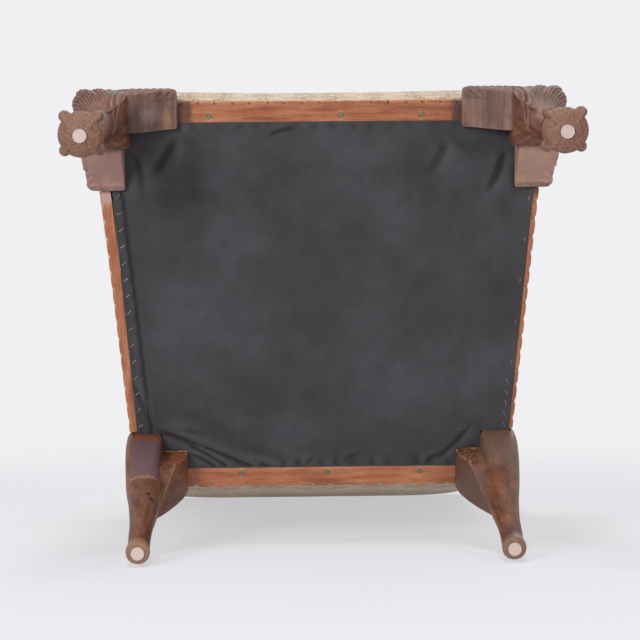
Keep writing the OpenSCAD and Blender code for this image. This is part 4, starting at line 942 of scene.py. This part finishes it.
def cover_drop(x, a):
    """How far the cambric hangs or puckers below the rails, in mm."""
    edge = side_at(a) - COVER_INSET
    inside = np.maximum(np.minimum(edge - np.abs(x), np.minimum(a - STRIP_WIDE, REAR_STRIP_FRONT - a)), 0)
    soft = smooth_step(inside / 70)
    places = np.stack([x, a, np.zeros_like(x)], 1)
    drop = 3.0 * soft + 2.2 * soft * wander(places, 0.011, 31) + 0.8 * soft * wander(places, 0.03, 32)
    corner = np.exp(-(((np.abs(x) - 210) / 90) ** 2) - (((a - 120) / 85) ** 2))
    drop += 6.5 * corner * wander(places, 0.02, 33)
    for (x0, a0), (x1, a1), high, near, far in FOLDS:
        length = math.hypot(x1 - x0, a1 - a0)
        ux, ua = (x1 - x0) / length, (a1 - a0) / length
        along = ((x - x0) * ux + (a - a0) * ua) / length
        across = (a - a0) * ux - (x - x0) * ua + 4 * np.sin(math.pi * along)
        side = np.where(across > 0, near, far)
        taper = smooth_step(along / 0.35) * smooth_step((1.04 - along) / (0.12 if a1 > 555 else 0.5))
        drop += high * taper * np.exp(-((across / side) ** 2))
        drop -= 0.55 * high * taper * np.exp(-(((across - 1.7 * near) / near) ** 2))
    hem = x + edge
    rippled = 15 + 1.6 * wander(places, 0.02, 35)
    drop += 1.1 * smooth_step((rippled - hem) / 1.2) - 1.3 * np.exp(-(((hem - rippled - 1.2) / 1.3) ** 2))
    pucker = np.exp(-(((REAR_STRIP_FRONT - a) / 18) ** 2)) + 0.6 * np.exp(-(((a - STRIP_WIDE) / 14) ** 2))
    drop += 0.7 * pucker * np.sin(x / 4.6 + 3 * wander(places, 0.02, 34)) * smooth_step((inside + 1) / 5)
    return drop


def on_cover(x, a, drop):
    """Points, in metres, on or below the cambric where it hangs by that drop."""
    return np.stack([x, depth_at(a), SHEET_Z - drop], 1) * MM


def cut_to_shape(made):
    """Cuts the flat grid along the sides of the frame, and takes out the places of the legs."""

    def cut(place, normal, trim=False):
        bmesh.ops.bisect_plane(made, geom=everything(made), plane_co=place, plane_no=normal, clear_outer=trim)

    for sign, reach, slope in ((-1, 323.9, 0.077), (1, 335.6, 0.089)):
        cut((sign * reach, 0, 0), (sign, slope, 0), True)
        for inner, _, _, _ in LEG_PRINTS:
            cut((sign * inner, 0, 0), (1, 0, 0))
    for depth in sorted({d for leg in LEG_PRINTS for d in leg[2:] if COVER_FRONT + 2 < d < COVER_REAR - 2}):
        cut((0, depth, 0), (0, 1, 0))
    gone = []
    for face in made.faces:
        x, a, _ = face.calc_center_median()
        if any(inner < abs(x) < outer and low < a < high for inner, outer, low, high in LEG_PRINTS):
            gone.append(face)
    bmesh.ops.delete(made, geom=gone, context="FACES")
    bmesh.ops.remove_doubles(made, verts=made.verts, dist=0.5)
    bmesh.ops.triangulate(made, faces=[f for f in made.faces if len(f.verts) > 4])


def cover_sheet():
    """The finished sheet, and its area in square metres while it is flat."""
    columns = np.arange(-COVER_HALF, COVER_HALF + CELL, CELL)
    rows = np.arange(COVER_FRONT, COVER_REAR, CELL)
    rows[-1] = COVER_REAR
    made = bmesh.new()
    grid = [[made.verts.new((x, a, 0)) for x in columns] for a in rows]
    for near, far in zip(grid, grid[1:]):
        for i in range(len(columns) - 1):
            made.faces.new((near[i], far[i], far[i + 1], near[i + 1]))
    cut_to_shape(made)
    mesh = bpy.data.meshes.new("dust_cover_sheet")
    made.to_mesh(mesh)
    made.free()
    flat_area = sum(p.area for p in mesh.polygons) / 1e6
    x, a, _ = points_of(mesh).T
    drop = cover_drop(x, a)
    set_points(mesh, on_cover(x, a, np.maximum(drop, -0.4)))
    # Painted shade and light for the cambric: an attribute that is low in the valleys between folds and along the hem
    # crease, to paint them darker, and high on the crests, to paint them paler
    around = sum(cover_drop(x + dx, a + da) for dx, da in ((8, 0), (-8, 0), (0, 8), (0, -8))) / 4
    crest = np.clip((drop - around) / 0.9, -1, 1)
    crease = np.exp(-(((x + side_at(a) - 33.5) / 1.7) ** 2)) * smooth_step((a - 132) / 10)
    painted_fold_shading = mesh.attributes.new("painted_fold_shading", "FLOAT", "POINT")
    painted_fold_shading.data.foreach_set("value", np.clip(0.5 + 0.5 * crest - 0.5 * crease, 0, 1))
    return finished(mesh, ("SOLIDIFY", {"thickness": 0.45 * MM, "offset": 1.0})), flat_area


sheet_mesh, sheet_area = cover_sheet()
dust_sheet = piece("dust_cover_sheet", sheet_mesh, M["cambric"], "black_cloth", "dust_cover")


def staple_tree():
    """Staples set along a line, each a bowed crown of thin wire turned a little off square."""
    tree = bpy.data.node_groups.new("staples_along_edge", "GeometryNodeTree")
    side = tree.interface
    side.new_socket("Line", in_out="INPUT", socket_type="NodeSocketGeometry")
    for name, value in {"Spacing": 28 * MM, "Crown": 8 * MM, "Wire": 0.42 * MM, "Lean": 0.0, "Turned": 0.5}.items():
        side.new_socket(name, in_out="INPUT", socket_type="NodeSocketFloat").default_value = value
    side.new_socket("Seed", in_out="INPUT", socket_type="NodeSocketInt").default_value = 3
    side.new_socket("Metal", in_out="INPUT", socket_type="NodeSocketMaterial")
    side.new_socket("Staples", in_out="OUTPUT", socket_type="NodeSocketGeometry")
    given = add(tree, "NodeGroupInput").outputs
    line = add(tree, "GeometryNodeMeshToCurve", given["Line"])
    points = add(tree, "GeometryNodeResampleCurve", line, inputs={"Length": given["Spacing"]}, mode="LENGTH")
    start, middle, end = (add(tree, "Math", given["Crown"], share, operation="MULTIPLY")
        for share in (-0.5, -0.09, 0.5))
    bow = {"Resolution": 6, "Start": add(tree, "CombineXYZ", start),
        "Middle": add(tree, "CombineXYZ", 0, 0, middle), "End": add(tree, "CombineXYZ", end)}
    crown = add(tree, "GeometryNodeCurveQuadraticBezier", inputs=bow)
    wire = add(tree, "GeometryNodeCurvePrimitiveCircle", 6, given["Wire"])
    staple = add(tree, "GeometryNodeCurveToMesh", crown, wire, inputs={"Fill Caps": True})
    tangent = add(tree, "GeometryNodeInputTangent")
    along = add(tree, "FunctionNodeAlignRotationToVector", inputs={"Vector": tangent}, axis="X")
    least = add(tree, "Math", given["Lean"], given["Turned"], operation="SUBTRACT")
    most = add(tree, "Math", given["Lean"], given["Turned"], operation="ADD")
    angle = add(tree, "FunctionNodeRandomValue", least, most, inputs={"Seed": given["Seed"]}, data_type="FLOAT")
    twist = add(tree, "FunctionNodeAxisAngleToRotation", (0, 0, 1), angle)
    turned = add(tree, "FunctionNodeRotateRotation", along, twist, rotation_space="LOCAL")
    placed = add(tree, "GeometryNodeInstanceOnPoints", points, inputs={"Instance": staple, "Rotation": turned})
    real = add(tree, "GeometryNodeRealizeInstances", placed)
    dressed = add(tree, "GeometryNodeSetMaterial", real, inputs={"Material": given["Metal"]})
    add(tree, "NodeGroupOutput", dressed)
    return tree


def along_cover(rows):
    """A line just below the cambric through rows of x and depth."""
    x, a = catmull(rows, 30).T
    points = on_cover(x, a, np.maximum(cover_drop(x, a), -0.4) + 0.75)
    mesh = bpy.data.meshes.new("staple_line")
    mesh.from_pydata([tuple(p) for p in points], [(i, i + 1) for i in range(len(x) - 1)], [])
    return mesh


def edge_rows(sign, start_inset, end_inset, first, last):
    """Five points along a side, set in from the strip's outer edge."""
    insets, depths = np.linspace(start_inset, end_inset, 5), np.linspace(first, last, 5)
    return [(sign * (side_at(a) - inset), a) for inset, a in zip(insets, depths)]


def make_staples():
    tree = staple_tree()
    keys = {item.name: item.identifier for item in tree.interface.items_tree if item.in_out == "INPUT"}
    made = []
    for rows, values in (
        (edge_rows(-1, 26, 18, 142, 500), {"Spacing": 24 * MM, "Lean": 0.9, "Turned": 0.3, "Seed": 5}),
        (edge_rows(1, 16, 15, 436, 504), {"Spacing": 14.5 * MM, "Lean": -0.6, "Turned": 0.25, "Seed": 8}),
        (edge_rows(1, 14, 14, 150, 405), {"Spacing": 62 * MM, "Turned": 0.2, "Seed": 6, "Crown": 6 * MM}),
        ([(252, 512), (214, 509)], {"Spacing": 19 * MM, "Turned": 1.2, "Seed": 4, "Crown": 4 * MM}),
    ):
        worker = link("staple_line", along_cover(rows), smooth=False)
        modifier = worker.modifiers.new("staples", "NODES")
        modifier.node_group = tree
        for name, value in {**values, "Metal": M["steel"]}.items():
            modifier[keys[name]] = value
        made.append(plain_mesh(worker))
    piece("edge_staples", joined(*made), M["steel"], "steel", "dust_cover_staples")


make_staples()


# Padded and covered pieces


def swollen(mesh, cap_mm, pressure=4.0, pins=None):
    """The mesh after 20 frames as pressed cloth, held at its pins, no point moving further than the cap."""
    before = points_of(mesh)
    worker = link("swelling", mesh)
    cloth = worker.modifiers.new("cloth", "CLOTH")
    for name, value in {"quality": 4, "mass": 0.2, "tension_stiffness": 18, "compression_stiffness": 18,
            "bending_stiffness": 2, "use_pressure": True, "uniform_pressure_force": pressure}.items():
        setattr(cloth.settings, name, value)
    cloth.settings.effector_weights.gravity = 0
    if pins is not None:
        held = worker.vertex_groups.new(name="held")
        held.add([int(k) for k in np.nonzero(pins)[0]], 1.0, "REPLACE")
        cloth.settings.vertex_group_mass = held.name
    cloth.collision_settings.use_collision = False
    cloth.point_cache.frame_start, cloth.point_cache.frame_end = 1, 20
    for number in range(1, 21):
        bpy.context.scene.frame_set(number)
    result = plain_mesh(worker)
    bpy.context.scene.frame_set(1)
    moved = points_of(result) - before
    far = np.linalg.norm(moved, axis=1)
    set_points(result, before + moved * np.minimum(1, cap_mm * MM / np.maximum(far, 1e-9))[:, None])
    return result


def pad(name, source, voxel_mm, cap_mm, node, twin_node=None, smoothing=6):
    """A padded piece made for a CAD node, and its mirrored twin."""
    mesh = swollen(remeshed(source, voxel_mm, smoothing, 0.6), cap_mm)
    points = points_of(mesh)
    raise_points(mesh, 0.42 * wander(points, 9, 41) + 0.24 * wander(points, 26, 42))
    covered(name, finished(mesh, ("SUBSURF", {"levels": 1, "render_levels": 1})), node, twin_node)


def covered(name, mesh, node, twin_node):
    """A padded piece in the cover's cloth that stands for a CAD node, and its mirrored twin."""
    made = [piece(name, mesh, M["cover"], "cover", node)]
    if twin_node:
        made.append(piece(name.replace("left", "right"), mirrored(mesh), M["cover"], "cover", twin_node))


def gridded(mesh, step_mm):
    """The mesh with its faces cut into cells, so that it can bend."""

    def cut(made):
        bmesh.ops.dissolve_limit(made, angle_limit=math.radians(1), verts=made.verts, edges=made.edges)
        low = np.min([v.co for v in made.verts], axis=0)
        high = np.max([v.co for v in made.verts], axis=0)
        for axis in range(3):
            normal = Vector([float(axis == i) for i in range(3)])
            count = int((high[axis] - low[axis]) / (step_mm * MM))
            for k in range(1, count + 1):
                place = normal * (low[axis] + (high[axis] - low[axis]) * k / (count + 1))
                bmesh.ops.bisect_plane(made, geom=everything(made), plane_co=place, plane_no=normal, dist=0.05 * MM)
        bmesh.ops.triangulate(made, faces=[f for f in made.faces if len(f.verts) > 4])

    return reworked([mesh], cut)


def gap_to(points, others):
    """How far, in mm, each point is from the nearest of the others."""
    tree = KDTree(len(others))
    for k, p in enumerate(others):
        tree.insert(Vector(p), k)
    tree.balance()
    return np.array([tree.find(Vector(p))[2] for p in points]) / MM


def tight_panel(name, node, out, step_mm, puff_mm, twin_node=None):
    """A cover drawn tight over thin wadding: its outer face swells a little, and falls to its edges."""
    mesh = gridded(welded(node), step_mm)
    points = points_of(mesh)
    out = np.asarray(out, float) / np.linalg.norm(out)
    facing = normals_of(mesh) @ out
    away = gap_to(points, points[np.abs(facing) <= 0.9])
    lift = puff_mm * (1 - np.exp(-away / (8 + 3 * puff_mm))) + 0.5 * wander(points, 12, 51) * smooth_step(away / 20)
    set_points(mesh, points + out * (np.where(facing > 0.55, lift, 0) * MM)[:, None])
    eased = {"width": 1.2 * MM, "segments": 2, "limit_method": "ANGLE", "angle_limit": math.radians(50)}
    covered(name, finished(mesh, ("BEVEL", eased)), node, twin_node)


BACK_OUT = (0, math.cos(RAKE), -math.sin(RAKE))
SIDE_OUT = (-1, -0.09, -0.03)


def crest_source():
    """The crest pad with the cover that comes down from it over the front of the crest rail."""

    def keep_front(made):
        gone = [f for f in made.faces if f.normal.dot(-Vector(BACK_OUT)) < 0.7]
        bmesh.ops.delete(made, geom=gone, context="FACES")

    front = reworked([welded("crest_rail")], keep_front)
    return joined(welded("crest_pad"), finished(front, ("SOLIDIFY", {"thickness": 10 * MM, "offset": 0.0})))


def make_upholstery():
    pad("inside_back_padded", welded("inside_back_pad"), 6.6, 14, "inside_back_pad")
    for kind, cap_mm in (("arm", 6), ("wing", 7)):
        node, twin = f"left_{kind}_pad", f"right_{kind}_pad"
        pad(f"left_{kind}_padded", welded(node), 5.5, cap_mm, node, twin)
    pad("crest_padded", crest_source(), 4, 4, "crest_pad", smoothing=4)
    pad("deck_padded", welded("deck_pad"), 7.5, 3, "deck_pad", smoothing=3)
    tight_panel("front_border_cover", "front_border", (0, -1, 0), 14, 1.5)
    tight_panel("outside_back_cover", "outside_back_panel", BACK_OUT, 16, 10)
    for kind, step_mm in (("outside_arm", 14), ("outside_wing", 12)):
        node, twin = f"left_{kind}_panel", f"right_{kind}_panel"
        tight_panel(f"left_{kind}_cover", node, SIDE_OUT, step_mm, 2.2, twin)
    tight_panel("left_arm_facing_cover", "left_arm_facing", (0, -1, 0), 8, 2.2, "right_arm_facing")


make_upholstery()


def make_cushion():
    """The loose cushion: its crown and boxing swell between the welted seams."""
    parts = ("cushion_top_cover", "cushion_boxing", "cushion_bottom_cover", "cushion_core")
    shell = remeshed(welded(*parts), 6, 2, 0.5)
    seam = points_of(welded("cushion_welts"))
    shell = swollen(shell, 9, 3.0, gap_to(points_of(shell), seam) < 6)
    points = points_of(shell)
    near = gap_to(points, seam)
    pull = -1.6 * np.exp(-(((near - 9) / 6) ** 2)) * (0.6 + 0.6 * wander(points, 42, 61))
    raise_points(shell, pull + 0.6 * wander(points, 14, 62))
    shell = finished(shell, ("SUBSURF", {"levels": 1, "render_levels": 1}))
    made = piece("cushion_cover", shell, M["cover"], "cover", *parts[:3], body="cushion")
    core = remeshed(welded("cushion_core"), 8, 4)
    raise_points(core, -5)
    made = piece("cushion_core_wrapped", core, M["foam"], "foam", "cushion_core", body="cushion")


make_cushion()


def make_welts():
    for name, body in (("cushion_welts", "cushion"), ("arm_facing_welts", "chair")):
        mesh = finished(welded(name), ("SUBSURF", {"levels": 2, "render_levels": 2}))
        raise_points(mesh, 0.5)
        made = piece(name + "_corded", mesh, M["cover"], "cover", name, body=body)


make_welts()


# CAD nodes that keep their own shape

NODE_MATERIALS = {
    "frame_x": ["front_rail", "rear_rail", "crest_rail", "lower_back_rail"],
    "frame_y": ["left_side_rail", "right_side_rail", "left_arm_board", "right_arm_board", "corner_blocks"],
    "frame_z": ["left_back_post", "right_back_post", "left_arm_post", "right_arm_post",
                "left_wing_board", "right_wing_board", "rear_leg_dowels"],
    "jute": ["seat_webbing", "spring_burlap", "back_webbing"],
    "steel": ["corner_block_screws", "seat_springs", "dust_cover_staples"],
    "screw": ["edge_strip_screws"],
    "glide": ["foot_glides"],
    "zip": ["cushion_zip"],
    "foam": ["cushion_core"],
    "cambric": ["dust_cover"],
}


def dress_nodes():
    for name, node in nodes.items():
        key = next((k for k, names in NODE_MATERIALS.items() if name in names), "cover")
        node.data.materials.clear()
        node.data.materials.append(M[key])


dress_nodes()


# Stage: a pale sweep behind the chair's back, where it lies in the photo, and a floor under its feet

BACKGROUND = "#f0f0f2"


def paper(name, fade_from, fade_to, shade_hex, glow, blocking):
    """A pale matt sheet that the camera sees from its front only. It fades out, keeps the chair's shadow, and holds
    back part of the light from behind it, most of it low down."""
    material, tree = new_material(name)
    source = place_on(tree)
    distance = add(tree, "VectorMath", source, operation="LENGTH")
    shown = add(tree, "MapRange", distance, fade_from, fade_to, 1, 0)
    back = add(tree, "NewGeometry").outputs["Backfacing"]
    seen = add(tree, "LightPath").outputs["Is Camera Ray"]
    front = add(tree, "Math", 1.0, back, operation="SUBTRACT")
    unseen = add(tree, "Math", 1.0, seen, operation="SUBTRACT")
    height = add(tree, "SeparateXYZ", source).outputs["Z"]
    held_back = add(tree, "MapRange", height, -0.32, -0.14, 0.96, blocking)
    blocks = add(tree, "Math", unseen, held_back, operation="MULTIPLY")
    either = add(tree, "Math", seen, front, blocks, operation="MULTIPLY_ADD")
    solid = add(tree, "Math", shown, either, operation="MULTIPLY")
    matt = add(tree, "BsdfDiffuse", linear(shade_hex))
    glowing = add(tree, "Emission", linear(BACKGROUND), 1.0)
    share = add(tree, "Math", seen, glow, operation="MULTIPLY")
    lit = add(tree, "MixShader", share, matt, glowing)
    whole = add(tree, "MixShader", solid, add(tree, "BsdfTransparent"), lit)
    add(tree, "OutputMaterial", whole)
    return material


def sheet_plane(name, centre, normal, half, material, blocking):
    up = Vector(normal).normalized()
    side = Vector((1, 0, 0))
    ahead = up.cross(side)
    corners = [side * (half * i) + ahead * (half * j) for i, j in ((-1, -1), (1, -1), (1, 1), (-1, 1))]
    made = link(name, mesh_of(name, corners, [(0, 1, 2, 3)]), material, False)
    if made.data.polygons[0].normal.dot(up) < 0:
        made.data.flip_normals()
    made.location = centre
    for ray in ("glossy", "transmission") + (() if blocking else ("diffuse", "shadow")):
        setattr(made, "visible_" + ray, False)


def make_stage():
    high = cad_bounds[1]
    foot_back = Vector((0, depth_at(REAR_FOOT_DEPTH + REAR_FOOT_R) * MM, 0.011))
    crest_back = Vector((0, high.y, high.z - 0.02))
    along = (crest_back - foot_back).normalized()
    normal = Vector((0, -along.z, along.y))
    centre = (foot_back + crest_back) / 2 - normal * 0.004
    sheet_plane("sweep", centre, normal, 4.0, paper("paper_sweep", 1.0, 2.3, "#efeff8", 0.58, 0.65), True)
    centre = Vector((0, 0, -0.0005))
    sheet_plane("floor", centre, (0, 0, 1), 4.0, paper("paper_floor", 0.8, 2.2, "#dcdce0", 0.4, 0), False)


make_stage()


def area_lamp(name, place, target, size, power):
    data = bpy.data.lights.new(name, "AREA")
    data.shape = "DISK"
    data.size = size
    data.energy = power
    lamp = bpy.data.objects.new(name, data)
    lamp.location = place
    lamp.rotation_euler = (Vector(target) - Vector(place)).to_track_quat("-Z", "Y").to_euler()
    bpy.context.scene.collection.objects.link(lamp)


def make_light():
    world = bpy.data.worlds.new("pale_studio")
    bpy.context.scene.world = world
    world.use_nodes = True
    tree = world.node_tree
    tree.nodes.clear()
    path = add(tree, "LightPath").outputs
    mirrored_ray = add(tree, "Math", path["Is Glossy Ray"], path["Is Transmission Ray"], operation="MAXIMUM")
    seen = add(tree, "Math", path["Is Camera Ray"], mirrored_ray, operation="MAXIMUM")
    fill = add(tree, "Background", (1, 1, 1, 1), 0.33)
    shown = add(tree, "Background", linear(BACKGROUND), 1.0)
    add(tree, "OutputWorld", add(tree, "MixShader", seen, fill, shown))
    middle = (0, -0.1, 0.3)
    area_lamp("left_softbox", (-1.7, -1.6, -2.7), middle, 1.1, 74)
    area_lamp("right_softbox", (1.7, -1.3, -2.8), middle, 1.3, 24)
    area_lamp("front_softbox", (-0.2, -3.4, 0.44), (0, 0, 0.4), 0.8, 34)
    area_lamp("top_softbox", (0.6, -1.2, 3.6), (0, 0, 0.6), 2.4, 32)


make_light()
